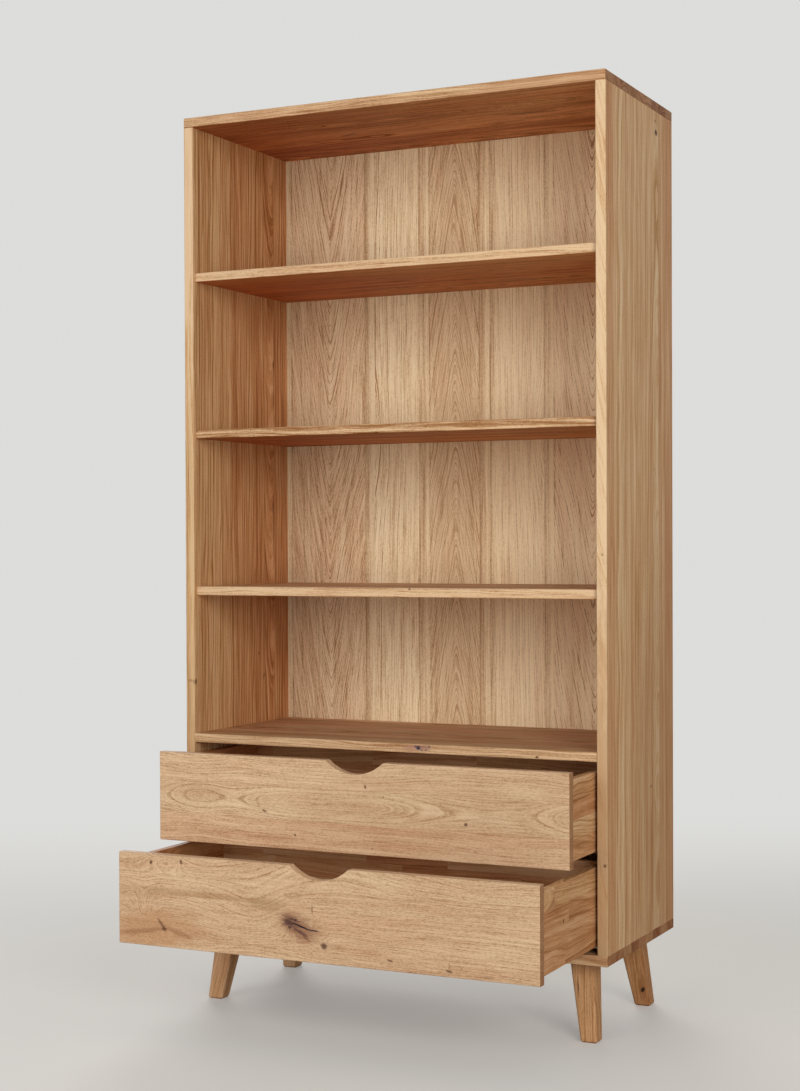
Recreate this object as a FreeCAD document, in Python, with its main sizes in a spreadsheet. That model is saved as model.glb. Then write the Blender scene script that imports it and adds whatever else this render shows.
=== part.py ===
import FreeCAD, Part
import math
import os
import Sketcher

# A solid oak bookcase on four splayed legs: three open bays above a fixed deck and one above
# them, and two drawers below the deck on full-extension undermount runners.
# Frame: X to the right seen from the front, Y to the back, Z up. The origin is on the floor, in
# the middle of the ground that the bookcase covers with its drawers open.

SIZES = {
    # case
    "case_width": 900,
    "case_depth": 400,
    "case_height": 1640,          # from the underside of the bottom panel to the top
    "side_thickness": 20,
    "top_thickness": 20,
    "bottom_thickness": 20,
    "panel_round": 2,             # eased edges of top, bottom, sides, shelves and deck
    "shelf_thickness": 18,
    "shelf_setback": 10,          # shelves stand back from the front of the case
    "deck_thickness": 18,
    "lower_bay_height": 280,      # clear heights, counted upwards from the deck
    "middle_bay_height": 300,
    "upper_bay_height": 300,
    "back_thickness": 6,
    "back_inset": 1,              # back panel's rear face behind the rear edges of the case
    "rabbet_width": 10,           # lap of the back panel on sides, top and bottom
    "back_clearance": 0.5,
    # legs
    "leg_height": 150,
    "leg_top_width": 47,
    "leg_foot_width": 33,
    "leg_side_inset": 44,         # leg top from the end faces of the case
    "leg_face_inset": 44,         # leg top from the front and rear faces of the case
    "leg_side_splay": 13,         # how far the foot stands outside the leg top, sideways
    "leg_face_splay": 17,         # and towards the front or the rear
    "leg_top_round": 6,
    "leg_foot_round": 5,
    "foot_chamfer": 3,
    # leg fixing
    "bolt_diameter": 8,
    "bolt_in_leg": 35,
    "bolt_in_panel": 13,
    "insert_diameter": 12,
    "insert_length": 14,
    "leg_dowel_offset": 13,       # locating dowel from the bolt, along X and along Y
    # dowels and screws
    "dowel_diameter": 8,
    "dowel_in_face": 12,          # part of each dowel that sits in the face of a board
    "dowel_in_end": 18,           # and in the end of the board that meets it
    "dowel_chamfer": 1,
    "dowel_inset": 50,            # first and last dowel from the front and rear of the case
    "screw_diameter": 3,
    "screw_length": 16,
    "screw_tip": 4,
    "screw_head_diameter": 6,
    "screw_head_height": 1.5,
    "screw_recess_depth": 0.9,
    "screw_recess_length": 3.6,
    "screw_recess_width": 0.8,
    "back_screw_inset": 150,      # outer back screws from the corners of the inside of the case
    "hole_clearance": 0.2,        # on the diameter of a hole
    "hole_end_clearance": 0.5,    # at the bottom of a hole
    # drawers
    "front_thickness": 20,
    "front_height": 173,
    "front_round": 1.5,
    "front_side_gap": 2.5,
    "front_bottom_gap": 1.5,
    "front_middle_gap": 2.5,
    "front_top_gap": 5,
    "scoop_width": 120,
    "scoop_depth": 24,
    "scoop_corner_round": 5,
    "box_side_gap": 6,
    "box_side_thickness": 16,
    "box_side_height": 146,
    "box_back_thickness": 16,
    "box_round": 1.5,
    "box_length": 350,            # box sides behind the front
    "box_rise": 12.5,             # lower edge of the box above that of the front
    "box_bottom_thickness": 8,
    "box_bottom_recess": 13,      # underside of the drawer bottom above the edge of the box
    "groove_depth": 6,
    "groove_clearance": 0.2,
    "box_dowel_inset": 22,        # outer corner dowels from the edges of the box's back
    "bottom_screw_inset": 150,
    "upper_opening": 136,         # how far each drawer stands open
    "lower_opening": 280,
    # runners
    "runner_height": 18,          # from the cabinet rail's underside to the drawer bottom
    "runner_inset": 26,           # from the side panel to the outer lip of the rails
    "runner_width": 20,
    "runner_setback": 2,          # rails behind the rear face of a closed front
    "rail_sheet": 1.5,
    "cabinet_rail_length": 350,
    "cabinet_rail_lip": 6,
    "cabinet_rail_flange": 35,
    "rail_screw_inset": 30,       # first and last screw from the ends of the rail
    "rail_screw_height": 24,      # above the underside of the cabinet rail
    "middle_rail_length": 320,
    "middle_rail_width": 13,
    "middle_rail_sheet": 1.2,
    "middle_rail_clearance": 0.8,
    "drawer_rail_lip": 10,
    "hook_gap": 0.2,              # between the drawer and the hook at the rear of its rail
    "hook_width": 12,
    "hook_height": 8,             # hook pin above the drawer bottom
    "hook_pin_diameter": 5,
    "hook_pin_length": 8,
    "roller_gap": 0.35,           # between a roller and the rail that runs on it
    "roller_seat": 0.05,          # between a roller and the web of its own rail
    "roller_side_gap": 0.5,
    "roller_axle": 2.4,
    "roller_inset": 20,
    "clip_plate": 3,
    "clip_width": 28,
    "clip_latch_width": 10,
    "clip_latch_length": 40,
    "clip_height": 10.8,
    "clip_latch_height": 9,
    "clip_clearance": 0.2,        # below the drawer bottom
    "clip_screw_inset": 4,        # outer screw from the end of the clip
    "clip_screw_pitch": 8,
}
TOLERANCE = 1e-4

# How many of each stand in a row.
CORNER_DOWEL_COUNT = 4
SHELF_DOWEL_COUNT = 3
SIDE_SCREW_COUNT = 7
ACROSS_SCREW_COUNT = 3
RAIL_SCREW_COUNT = 3
BOX_DOWEL_COUNT = 3
CLIP_SCREW_COUNT = 2
ROLLER_COUNT = 3

doc = FreeCAD.newDocument("bookcase")
sheet = doc.addObject("Spreadsheet::Sheet", "sizes")
for row, (name, number) in enumerate(SIZES.items(), start=1):
    sheet.set(f"A{row}", name)
    sheet.set(f"B{row}", str(number))
    sheet.setAlias(f"B{row}", name)
doc.recompute()


class Size:
    """A length as an expression on the sheet, and its value in millimetres."""

    def __init__(self, text, value):
        self.text = text
        self.value = value

    def __add__(self, other):
        other = as_size(other)
        return Size(f"({self.text} + {other.text})", self.value + other.value)

    def __sub__(self, other):
        other = as_size(other)
        return Size(f"({self.text} - {other.text})", self.value - other.value)

    def __mul__(self, other):
        other = as_size(other)
        return Size(f"({self.text} * {other.text})", self.value * other.value)

    def __truediv__(self, other):
        other = as_size(other)
        return Size(f"({self.text} / {other.text})", self.value / other.value)

    def __neg__(self):
        return Size(f"(0 - {self.text})", -self.value)

    __radd__ = __add__
    __rmul__ = __mul__


def as_size(length):
    """Takes a plain number, such as 0 or 2, as a size."""
    return length if isinstance(length, Size) else Size(f"({length})", float(length))


class Sizes:
    """The cells of the sheet, each under its own name."""


size = Sizes()
for name in SIZES:
    setattr(size, name, Size(f"sizes.{name}", float(sheet.get(name))))

# Places that several pieces share.
INNER_HALF = size.case_width / 2 - size.side_thickness
SIDE_HEIGHT = size.case_height - size.top_thickness - size.bottom_thickness
CASE_FLOOR = size.leg_height + size.bottom_thickness
CASE_FRONT = (size.lower_opening - size.case_depth) / 2
RABBET_DEPTH = size.back_thickness + size.back_inset
INSIDE_DEPTH = size.case_depth - RABBET_DEPTH
# Heights of undersides above the case floor.
LOWER_DRAWER = size.front_bottom_gap
UPPER_DRAWER = LOWER_DRAWER + size.front_height + size.front_middle_gap
DECK = UPPER_DRAWER + size.front_height + size.front_top_gap
LOWER_SHELF = DECK + size.deck_thickness + size.lower_bay_height
MIDDLE_SHELF = LOWER_SHELF + size.shelf_thickness + size.middle_bay_height
UPPER_SHELF = MIDDLE_SHELF + size.shelf_thickness + size.upper_bay_height
# The drawer box, in a drawer's own frame: y from the face of its front, z from its lower edge.
BOX_OUTER_HALF = INNER_HALF - size.box_side_gap
BOX_INNER_HALF = BOX_OUTER_HALF - size.box_side_thickness
BOX_REAR = size.front_thickness + size.box_length
BOTTOM_UNDERSIDE = size.box_rise + size.box_bottom_recess
BOTTOM_TOP = BOTTOM_UNDERSIDE + size.box_bottom_thickness
BOX_TOP = size.box_rise + size.box_side_height
BACK_DOWEL_Y = BOX_REAR - size.box_back_thickness / 2
RUNNER_UNDERSIDE = BOTTOM_UNDERSIDE - size.runner_height
RUNNER_START = size.front_thickness + size.runner_setback
RAIL_EDGE = INNER_HALF - size.runner_inset - size.runner_width
HOOK_FACE = BOX_REAR + size.hook_gap
HOOK_LEVEL = BOTTOM_TOP + size.hook_height
# Holes.
DOWEL_HOLE = size.dowel_diameter + size.hole_clearance
PILOT_HOLE = size.screw_diameter + size.hole_clearance
HEAD_HOLE = size.screw_head_diameter + size.hole_clearance
FACE_HOLE_DEPTH = size.dowel_in_face + size.hole_end_clearance
END_HOLE_DEPTH = size.dowel_in_end + size.hole_end_clearance

NORMAL_SIGN = {"x": 1, "y": -1, "z": 1}
ORIGIN_PLANE = {"x": "YZ_Plane", "y": "XZ_Plane", "z": "XY_Plane"}


def spread(first, last, count):
    """Evenly spaced places from first to last."""
    return [first + (last - first) * i / (count - 1) for i in range(count)]


BOX_DOWELS = spread(BOTTOM_TOP + size.box_dowel_inset, BOX_TOP - size.box_dowel_inset,
                    BOX_DOWEL_COUNT)


# Sketches and features

def flat(x, y):
    return FreeCAD.Vector(as_size(x).value, as_size(y).value, 0)


def new_body(label):
    return doc.addObject("PartDesign::Body", label)


def new_sketch(body, name, axis, level=0):
    """A sketch square to an axis, at a level along it, in the axis order X, Y, Z."""
    sketch = body.newObject("Sketcher::SketchObject", name)
    features = body.Origin.OriginFeatures
    base = next(part for part in features if part.Role == ORIGIN_PLANE[axis])
    sketch.AttachmentSupport = [(base, "")]
    sketch.MapMode = "FlatFace"
    offset = as_size(level) * NORMAL_SIGN[axis]
    sketch.setExpression("AttachmentOffset.Base.z", offset.text)
    return sketch


def bind(sketch, length, *constraint):
    """Adds a dimension to a sketch and ties it to its size."""
    length = as_size(length)
    index = sketch.addConstraint(Sketcher.Constraint(*constraint, length.value))
    sketch.setExpression(f"Constraints[{index}]", length.text)


def hold(sketch, geometry, point, x=None, y=None):
    """Ties a point of the geometry to its distances from the sketch's origin."""
    for kind, length in (("DistanceX", x), ("DistanceY", y)):
        if length is not None:
            bind(sketch, length, kind, -1, 1, geometry, point)


def outline(sketch, points):
    """A closed run of straight edges through the points."""
    count = len(points)
    for i in range(count):
        line = Part.LineSegment(flat(*points[i]), flat(*points[(i + 1) % count]))
        sketch.addGeometry(line)
    for i in range(count):
        sketch.addConstraint(Sketcher.Constraint("Coincident", i, 2, (i + 1) % count, 1))
        hold(sketch, i, 1, *points[i])


def rectangle(sketch, x_low, x_high, y_low, y_high):
    outline(sketch, [(x_low, y_low), (x_high, y_low), (x_high, y_high), (x_low, y_high)])


def circles(sketch, spots, diameter):
    for x, y in spots:
        ring = Part.Circle(flat(x, y), FreeCAD.Vector(0, 0, 1), diameter.value / 2)
        index = sketch.addGeometry(ring)
        hold(sketch, index, 3, x, y)
        bind(sketch, diameter, "Diameter", index)


def arc(centre_x, centre_y, radius, start, end):
    """An arc from one angle to another, in degrees, anticlockwise."""
    circle = Part.Circle(flat(centre_x, centre_y), FreeCAD.Vector(0, 0, 1), radius)
    return Part.ArcOfCircle(circle, math.radians(start), math.radians(end))


def pad(body, name, sketch, axis, towards, length):
    feature = body.newObject("PartDesign::Pad", name)
    feature.Profile = sketch
    feature.Reversed = towards != NORMAL_SIGN[axis]
    feature.setExpression("Length", as_size(length).text)
    return feature


def pocket(body, name, sketch, axis, towards, depth):
    feature = body.newObject("PartDesign::Pocket", name)
    feature.Profile = sketch
    feature.Reversed = towards == NORMAL_SIGN[axis]
    feature.setExpression("Length", as_size(depth).text)
    return feature


def drill(body, name, axis, level, towards, spots, diameter, depth):
    """Round blind holes from a plane, along an axis."""
    sketch = new_sketch(body, name + "_spots", axis, level)
    circles(sketch, spots, diameter)
    pocket(body, name, sketch, axis, towards, depth)


def ease(body, name, radius, wanted):
    """Rounds the edges of the body so far for which wanted(bounding box) is true."""
    doc.recompute()
    base = body.Tip
    boxes = [edge.BoundBox for edge in base.Shape.Edges]
    edges = [f"Edge{i}" for i, box in enumerate(boxes, start=1) if wanted(box)]
    feature = body.newObject("PartDesign::Fillet", name)
    feature.Base = (base, edges)
    feature.setExpression("Radius", as_size(radius).text)


def near(length, wanted):
    return abs(length - as_size(wanted).value) < TOLERANCE


def place(piece, x=0, y=0, z=0):
    """Ties a piece's place in the case frame to the sizes."""
    for axis, length in (("x", x), ("y", y), ("z", z)):
        piece.setExpression(f"Placement.Base.{axis}", as_size(length).text)


nodes = []


def finish(piece, x=0, y=0, z=0):
    """Places a piece and lists it as one of the bookcase's nodes."""
    place(piece, x, y, z)
    nodes.append(piece)
    return piece


# Fasteners: one of each is modelled, and groups are copies of it.

def dowel_model():
    """A fluted beech dowel drawn as a plain one. Its origin lies in the joint, +Z in the face."""
    body = new_body("dowel_model")
    sketch = new_sketch(body, "dowel_section", "z", -size.dowel_in_end)
    circles(sketch, [(0, 0)], size.dowel_diameter)
    pad(body, "dowel_length", sketch, "z", 1, size.dowel_in_end + size.dowel_in_face)
    doc.recompute()
    base = body.Tip
    chamfer = body.newObject("PartDesign::Chamfer", "dowel_ends")
    rims = enumerate(base.Shape.Edges, start=1)
    chamfer.Base = (base, [f"Edge{i}" for i, edge in rims if near(edge.BoundBox.ZLength, 0)])
    chamfer.setExpression("Size", size.dowel_chamfer.text)
    return body


def screw_model():
    """A small pan-head wood screw with a cross recess. Its head stands on z = 0, tip below."""
    body = new_body("screw_model")
    sketch = new_sketch(body, "screw_half_section", "y")
    shank = size.screw_diameter / 2
    head = size.screw_head_diameter / 2
    rim = size.screw_head_height / 2
    top = size.screw_head_height
    shoulder = size.screw_tip - size.screw_length
    outline(sketch, [(0, -size.screw_length), (shank, shoulder), (shank, 0), (head, 0),
                     (head, rim), (head - rim, top), (0, top)])
    turned = body.newObject("PartDesign::Revolution", "screw_turned")
    turned.Profile = sketch
    turned.ReferenceAxis = (sketch, ["V_Axis"])
    turned.Angle = 360
    for name, half_x, half_y in (("recess_bar", size.screw_recess_length, size.screw_recess_width),
                                 ("recess_cross", size.screw_recess_width, size.screw_recess_length)):
        slot = new_sketch(body, name, "z", top)
        rectangle(slot, -(half_x / 2), half_x / 2, -(half_y / 2), half_y / 2)
        pocket(body, name + "_cut", slot, "z", -1, size.screw_recess_depth)
    return body


def bolt_model():
    """A hanger bolt. Its origin lies in the joint between leg and panel, +Z into the panel."""
    body = new_body("bolt_model")
    sketch = new_sketch(body, "bolt_section", "z", -size.bolt_in_leg)
    circles(sketch, [(0, 0)], size.bolt_diameter)
    pad(body, "bolt_length", sketch, "z", 1, size.bolt_in_leg + size.bolt_in_panel)
    return body


def insert_model():
    """A threaded insert sleeve, from the joint up into the panel."""
    body = new_body("insert_model")
    sketch = new_sketch(body, "insert_section", "z")
    circles(sketch, [(0, 0)], size.insert_diameter)
    pad(body, "insert_length", sketch, "z", 1, size.insert_length)
    drill(body, "insert_bore", "z", 0, 1, [(0, 0)], size.bolt_diameter + size.hole_clearance,
          size.insert_length)
    return body


def roller_model():
    """A nylon roller with its axle, lying along X with the middle of the roller at the origin."""
    body = new_body("roller_model")
    axle_half = size.middle_rail_width / 2
    barrel_half = axle_half - size.middle_rail_sheet - size.roller_side_gap
    sketch = new_sketch(body, "roller_section", "x", -barrel_half)
    circles(sketch, [(0, 0)], ROLLER_DIAMETER)
    pad(body, "roller_barrel", sketch, "x", 1, barrel_half * 2)
    sketch = new_sketch(body, "axle_section", "x", -axle_half)
    circles(sketch, [(0, 0)], size.roller_axle)
    pad(body, "roller_axle", sketch, "x", 1, size.middle_rail_width)
    return body


UP = FreeCAD.Vector(0, 0, 1)
DOWN = FreeCAD.Vector(0, 0, -1)
RIGHT = FreeCAD.Vector(1, 0, 0)
LEFT = FreeCAD.Vector(-1, 0, 0)
FORWARDS = FreeCAD.Vector(0, -1, 0)
BACKWARDS = FreeCAD.Vector(0, 1, 0)


def group(label, model, spots, x=0, y=0, z=0):
    """Copies of a fastener as one node. Each spot is (x, y, z, direction of the model's +Z)."""
    copies = []
    for spot_x, spot_y, spot_z, direction in spots:
        copy = model.Shape.copy()
        base = FreeCAD.Vector(*(as_size(length).value for length in (spot_x, spot_y, spot_z)))
        copy.Placement = FreeCAD.Placement(base, FreeCAD.Rotation(UP, direction))
        copies.append(copy)
    node = doc.addObject("Part::Feature", label)
    node.Shape = Part.makeCompound(copies)
    return finish(node, x, y, z)


ROLLER_SPACE = size.runner_height - size.rail_sheet * 2 - size.middle_rail_sheet
ROLLER_DIAMETER = ROLLER_SPACE / 2 - size.roller_gap - size.roller_seat

dowel = dowel_model()
screw = screw_model()
bolt = bolt_model()
insert = insert_model()
roller = roller_model()
doc.recompute()

# Places of the case's fasteners, in depth from the front face and in height above the case floor.
CORNER_DOWELS = spread(size.dowel_inset, size.case_depth - size.dowel_inset, CORNER_DOWEL_COUNT)
SHELF_DOWELS = spread(size.dowel_inset + size.shelf_setback, size.case_depth - size.dowel_inset,
                      SHELF_DOWEL_COUNT)
SHELF_LEVELS = [(LOWER_SHELF, size.shelf_thickness), (MIDDLE_SHELF, size.shelf_thickness),
                (UPPER_SHELF, size.shelf_thickness), (DECK, size.deck_thickness)]
SIDE_SCREW_LEVELS = spread(size.back_screw_inset, SIDE_HEIGHT - size.back_screw_inset,
                           SIDE_SCREW_COUNT)
ACROSS_SCREWS = spread(size.back_screw_inset - INNER_HALF, INNER_HALF - size.back_screw_inset,
                       ACROSS_SCREW_COUNT)
RAIL_SCREW_DEPTHS = spread(RUNNER_START + size.rail_screw_inset,
                           RUNNER_START + size.cabinet_rail_length - size.rail_screw_inset,
                           RAIL_SCREW_COUNT)
BACK_SCREW_DEPTH = size.screw_length - size.back_thickness + size.screw_head_height
BACK_PILOT = BACK_SCREW_DEPTH + size.hole_end_clearance
SIDES = (("left", -1), ("right", 1))


# Case

def side_panel(label, out):
    """A side of edge-glued staves. Its origin is the front lower corner of its inner face."""
    body = new_body(label)
    section = new_sketch(body, label + "_section", "z")
    outer = out * size.side_thickness
    lap_edge = out * size.rabbet_width
    outline(section, [(0, 0), (outer, 0), (outer, size.case_depth), (lap_edge, size.case_depth),
                      (lap_edge, INSIDE_DEPTH), (0, INSIDE_DEPTH)])
    pad(body, label + "_staves", section, "z", 1, SIDE_HEIGHT)

    def upright_corner(box):
        upright = box.ZLength > box.XLength + box.YLength
        front = near(box.YMax, 0)
        rear = near(box.YMin, size.case_depth) and near(box.XMin, outer)
        return upright and (front or rear)

    ease(body, label + "_eased", size.panel_round, upright_corner)
    middle = outer / 2
    ends = [(middle, depth) for depth in CORNER_DOWELS]
    drill(body, label + "_foot_dowels", "z", 0, 1, ends, DOWEL_HOLE, END_HOLE_DEPTH)
    drill(body, label + "_head_dowels", "z", SIDE_HEIGHT, -1, ends, DOWEL_HOLE, END_HOLE_DEPTH)
    shelves = [(depth, level + thickness / 2)
               for level, thickness in SHELF_LEVELS for depth in SHELF_DOWELS]
    drill(body, label + "_shelf_dowels", "x", 0, out, shelves, DOWEL_HOLE, FACE_HOLE_DEPTH)
    rails = [(depth, drawer + RUNNER_UNDERSIDE + size.rail_screw_height)
             for drawer in (LOWER_DRAWER, UPPER_DRAWER) for depth in RAIL_SCREW_DEPTHS]
    drill(body, label + "_rail_screws", "x", 0, out, rails, PILOT_HOLE,
          size.screw_length - size.rail_sheet + size.hole_end_clearance)
    lap = [(out * size.rabbet_width / 2, level) for level in SIDE_SCREW_LEVELS]
    drill(body, label + "_back_screws", "y", INSIDE_DEPTH, -1, lap, PILOT_HOLE, BACK_PILOT)
    return finish(body, out * INNER_HALF, CASE_FRONT, CASE_FLOOR)


def end_panel(label, thickness, inner_level, inwards, z):
    """The top or the bottom. The sides butt against its inner face, at inner_level."""
    body = new_body(label)
    face = new_sketch(body, label + "_face", "z")
    rectangle(face, -(size.case_width / 2), size.case_width / 2, 0, size.case_depth)
    pad(body, label + "_board", face, "z", 1, thickness)
    ease(body, label + "_eased", size.panel_round, lambda box: True)
    rabbet = new_sketch(body, label + "_rabbet", "z", inner_level)
    lap_half = INNER_HALF + size.rabbet_width
    rectangle(rabbet, -lap_half, lap_half, INSIDE_DEPTH, size.case_depth + size.panel_round)
    pocket(body, label + "_rabbet_cut", rabbet, "z", -inwards, size.rabbet_width)
    middle = INNER_HALF + size.side_thickness / 2
    spots = [(sign * middle, depth) for _, sign in SIDES for depth in CORNER_DOWELS]
    drill(body, label + "_dowels", "z", inner_level, -inwards, spots, DOWEL_HOLE,
          FACE_HOLE_DEPTH)
    lap = [(across, inner_level - inwards * size.rabbet_width / 2) for across in ACROSS_SCREWS]
    drill(body, label + "_back_screws", "y", INSIDE_DEPTH, -1, lap, PILOT_HOLE, BACK_PILOT)
    return finish(body, 0, CASE_FRONT, z)


def shelf(label, thickness, setback, level):
    """A fixed board between the sides, dowelled at both ends. Its origin is mid front edge."""
    body = new_body(label)
    face = new_sketch(body, label + "_face", "z")
    rectangle(face, -INNER_HALF, INNER_HALF, 0, INSIDE_DEPTH - setback)
    pad(body, label + "_board", face, "z", 1, thickness)
    ease(body, label + "_eased", size.panel_round,
         lambda box: near(box.YMax, 0) and box.XLength > box.ZLength)
    spots = [(depth - setback, thickness / 2) for depth in SHELF_DOWELS]
    for side, sign in SIDES:
        drill(body, f"{label}_{side}_dowels", "x", sign * INNER_HALF, -sign, spots, DOWEL_HOLE,
              END_HOLE_DEPTH)
    lap = [(across, thickness / 2) for across in ACROSS_SCREWS]
    drill(body, label + "_back_screws", "y", INSIDE_DEPTH - setback, -1, lap, PILOT_HOLE,
          BACK_PILOT)
    return finish(body, 0, CASE_FRONT + setback, CASE_FLOOR + level)


def back_spots():
    """The back screws, across from the middle and up from the case floor."""
    lap = size.rabbet_width / 2
    spots = [(sign * (INNER_HALF + lap), level) for _, sign in SIDES
             for level in SIDE_SCREW_LEVELS]
    rows = [-lap, SIDE_HEIGHT + lap]
    rows += [level + thickness / 2 for level, thickness in SHELF_LEVELS]
    return spots + [(across, row) for row in rows for across in ACROSS_SCREWS]


def back_panel():
    """A veneered sheet in the rabbets, its screw heads let in flush. Origin on the case floor."""
    body = new_body("back_panel")
    lap = size.rabbet_width - size.back_clearance
    face = new_sketch(body, "back_panel_face", "y")
    rectangle(face, -(INNER_HALF + lap), INNER_HALF + lap, -lap, SIDE_HEIGHT + lap)
    pad(body, "back_panel_sheet", face, "y", 1, size.back_thickness)
    drill(body, "back_panel_heads", "y", size.back_thickness, -1, back_spots(), HEAD_HOLE,
          size.screw_head_height)
    drill(body, "back_panel_holes", "y", size.back_thickness, -1, back_spots(), PILOT_HOLE,
          size.back_thickness)
    return finish(body, 0, CASE_FRONT + INSIDE_DEPTH, CASE_FLOOR)


side_panel("left_side_panel", -1)
side_panel("right_side_panel", 1)
end_panel("top_panel", size.top_thickness, as_size(0), -1, CASE_FLOOR + SIDE_HEIGHT)
bottom_panel = end_panel("bottom_panel", size.bottom_thickness, size.bottom_thickness, 1,
                         size.leg_height)
shelf("drawer_deck", size.deck_thickness, as_size(0), DECK)
shelf("lower_shelf", size.shelf_thickness, size.shelf_setback, LOWER_SHELF)
shelf("middle_shelf", size.shelf_thickness, size.shelf_setback, MIDDLE_SHELF)
shelf("upper_shelf", size.shelf_thickness, size.shelf_setback, UPPER_SHELF)
back_panel()
group("back_screws", screw,
      [(across, size.back_thickness - size.screw_head_height, level, BACKWARDS)
       for across, level in back_spots()],
      0, CASE_FRONT + INSIDE_DEPTH, CASE_FLOOR)


# Legs

def rounded_square(sketch, x_low, x_high, y_low, y_high, radius):
    """Four straight edges joined by four tangent corner arcs."""
    corners = [(x_low, y_low), (x_high, y_low), (x_high, y_high), (x_low, y_high)]
    inwards = [(1, 1), (-1, 1), (-1, -1), (1, -1)]
    for i in range(4):
        (x, y), (next_x, next_y) = corners[i], corners[(i + 1) % 4]
        (in_x, in_y), (next_in_x, next_in_y) = inwards[i], inwards[(i + 1) % 4]
        along_x, along_y = (in_x, 0) if i % 2 == 0 else (0, in_y)
        back_x, back_y = (next_in_x, 0) if i % 2 == 0 else (0, next_in_y)
        start = flat(x + along_x * radius, y + along_y * radius)
        end = flat(next_x + back_x * radius, next_y + back_y * radius)
        sketch.addGeometry(Part.LineSegment(start, end))
        turn = arc(next_x + next_in_x * radius, next_y + next_in_y * radius, radius.value,
                   90 * i - 90, 90 * i)
        sketch.addGeometry(turn)
    for i in range(4):
        line, turn, following = 2 * i, 2 * i + 1, (2 * i + 2) % 8
        sketch.addConstraint(Sketcher.Constraint("Tangent", line, 2, turn, 1))
        sketch.addConstraint(Sketcher.Constraint("Tangent", turn, 2, following, 1))
        sketch.addConstraint(Sketcher.Constraint("Horizontal" if i % 2 == 0 else "Vertical", line))
        bind(sketch, radius, "Radius", turn)
    hold(sketch, 0, 1, y=y_low)
    hold(sketch, 2, 1, x=x_high)
    hold(sketch, 4, 1, y=y_high)
    hold(sketch, 6, 1, x=x_low)


def leg(label, out, back):
    """A splayed, tapered leg. Its origin is on the floor below its corner of the case."""
    body = new_body(label)

    def section(name, level, side_inset, face_inset, width, radius):
        sketch = new_sketch(body, f"{label}_{name}", "z", level)
        x_ends = [-out * side_inset, -out * (side_inset + width)]
        y_ends = [-back * face_inset, -back * (face_inset + width)]
        x_ends.sort(key=lambda end: end.value)
        y_ends.sort(key=lambda end: end.value)
        rounded_square(sketch, *x_ends, *y_ends, radius)
        return sketch

    side_foot = size.leg_side_inset - size.leg_side_splay
    face_foot = size.leg_face_inset - size.leg_face_splay
    top = section("top", size.leg_height, size.leg_side_inset, size.leg_face_inset, size.leg_top_width,
                  size.leg_top_round)
    ankle = section("ankle", size.foot_chamfer, side_foot, face_foot, size.leg_foot_width,
                    size.leg_foot_round)
    sole = section("sole", as_size(0), side_foot + size.foot_chamfer, face_foot + size.foot_chamfer,
                   size.leg_foot_width - size.foot_chamfer * 2,
                   size.leg_foot_round - size.foot_chamfer / 2)
    shank = body.newObject("PartDesign::AdditiveLoft", label + "_shank")
    shank.Profile = top
    shank.Sections = [ankle, sole]
    shank.Ruled = True
    bolt_x, bolt_y, dowel_x, dowel_y = leg_fixings(out, back)
    drill(body, label + "_bolt_hole", "z", size.leg_height, -1, [(bolt_x, bolt_y)],
          size.bolt_diameter + size.hole_clearance, size.bolt_in_leg + size.hole_end_clearance)
    drill(body, label + "_dowel_hole", "z", size.leg_height, -1, [(dowel_x, dowel_y)], DOWEL_HOLE,
          END_HOLE_DEPTH)
    return finish(body, out * size.case_width / 2, CASE_FRONT + corner_depth(back), 0)


def corner_depth(back):
    """How far the front or the rear corners of the case lie from its front face."""
    return size.case_depth if back > 0 else as_size(0)


def leg_fixings(out, back):
    """Bolt and locating dowel of a leg, from the corner of the case: x, y, x, y."""
    half = size.leg_top_width / 2
    bolt_x = -out * (size.leg_side_inset + half)
    bolt_y = -back * (size.leg_face_inset + half)
    return bolt_x, bolt_y, bolt_x + out * size.leg_dowel_offset, bolt_y + back * size.leg_dowel_offset


LEGS = (("front_left_leg", -1, -1), ("front_right_leg", 1, -1),
        ("rear_left_leg", -1, 1), ("rear_right_leg", 1, 1))
bolt_spots = []
leg_dowel_spots = []
for label, out, back in LEGS:
    leg(label, out, back)
    bolt_x, bolt_y, dowel_x, dowel_y = leg_fixings(out, back)
    corner_x = out * size.case_width / 2
    corner_y = corner_depth(back)
    bolt_spots.append((corner_x + bolt_x, corner_y + bolt_y))
    leg_dowel_spots.append((corner_x + dowel_x, corner_y + dowel_y))

drill(bottom_panel, "bottom_panel_inserts", "z", 0, 1, bolt_spots,
      size.insert_diameter + size.hole_clearance, size.insert_length + size.hole_end_clearance)
drill(bottom_panel, "bottom_panel_leg_dowels", "z", 0, 1, leg_dowel_spots, DOWEL_HOLE,
      FACE_HOLE_DEPTH)
joint = [(x, y, 0, UP) for x, y in bolt_spots]
group("leg_bolts", bolt, joint, 0, CASE_FRONT, size.leg_height)
group("leg_inserts", insert, joint, 0, CASE_FRONT, size.leg_height)


def case_dowel_spots():
    """Every dowel of the case, from the front face and the case floor."""
    spots = []
    for _, sign in SIDES:
        middle = sign * (INNER_HALF + size.side_thickness / 2)
        for depth in CORNER_DOWELS:
            spots.append((middle, depth, 0, DOWN))
            spots.append((middle, depth, SIDE_HEIGHT, UP))
        outwards = RIGHT if sign > 0 else LEFT
        for level, thickness in SHELF_LEVELS:
            for depth in SHELF_DOWELS:
                spots.append((sign * INNER_HALF, depth, level + thickness / 2, outwards))
    spots += [(x, y, -size.bottom_thickness, UP) for x, y in leg_dowel_spots]
    return spots


group("case_dowels", dowel, case_dowel_spots(), 0, CASE_FRONT, CASE_FLOOR)


# Drawers, in a drawer's own frame: x from the middle, y from its face, z from its lower edge.

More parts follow.
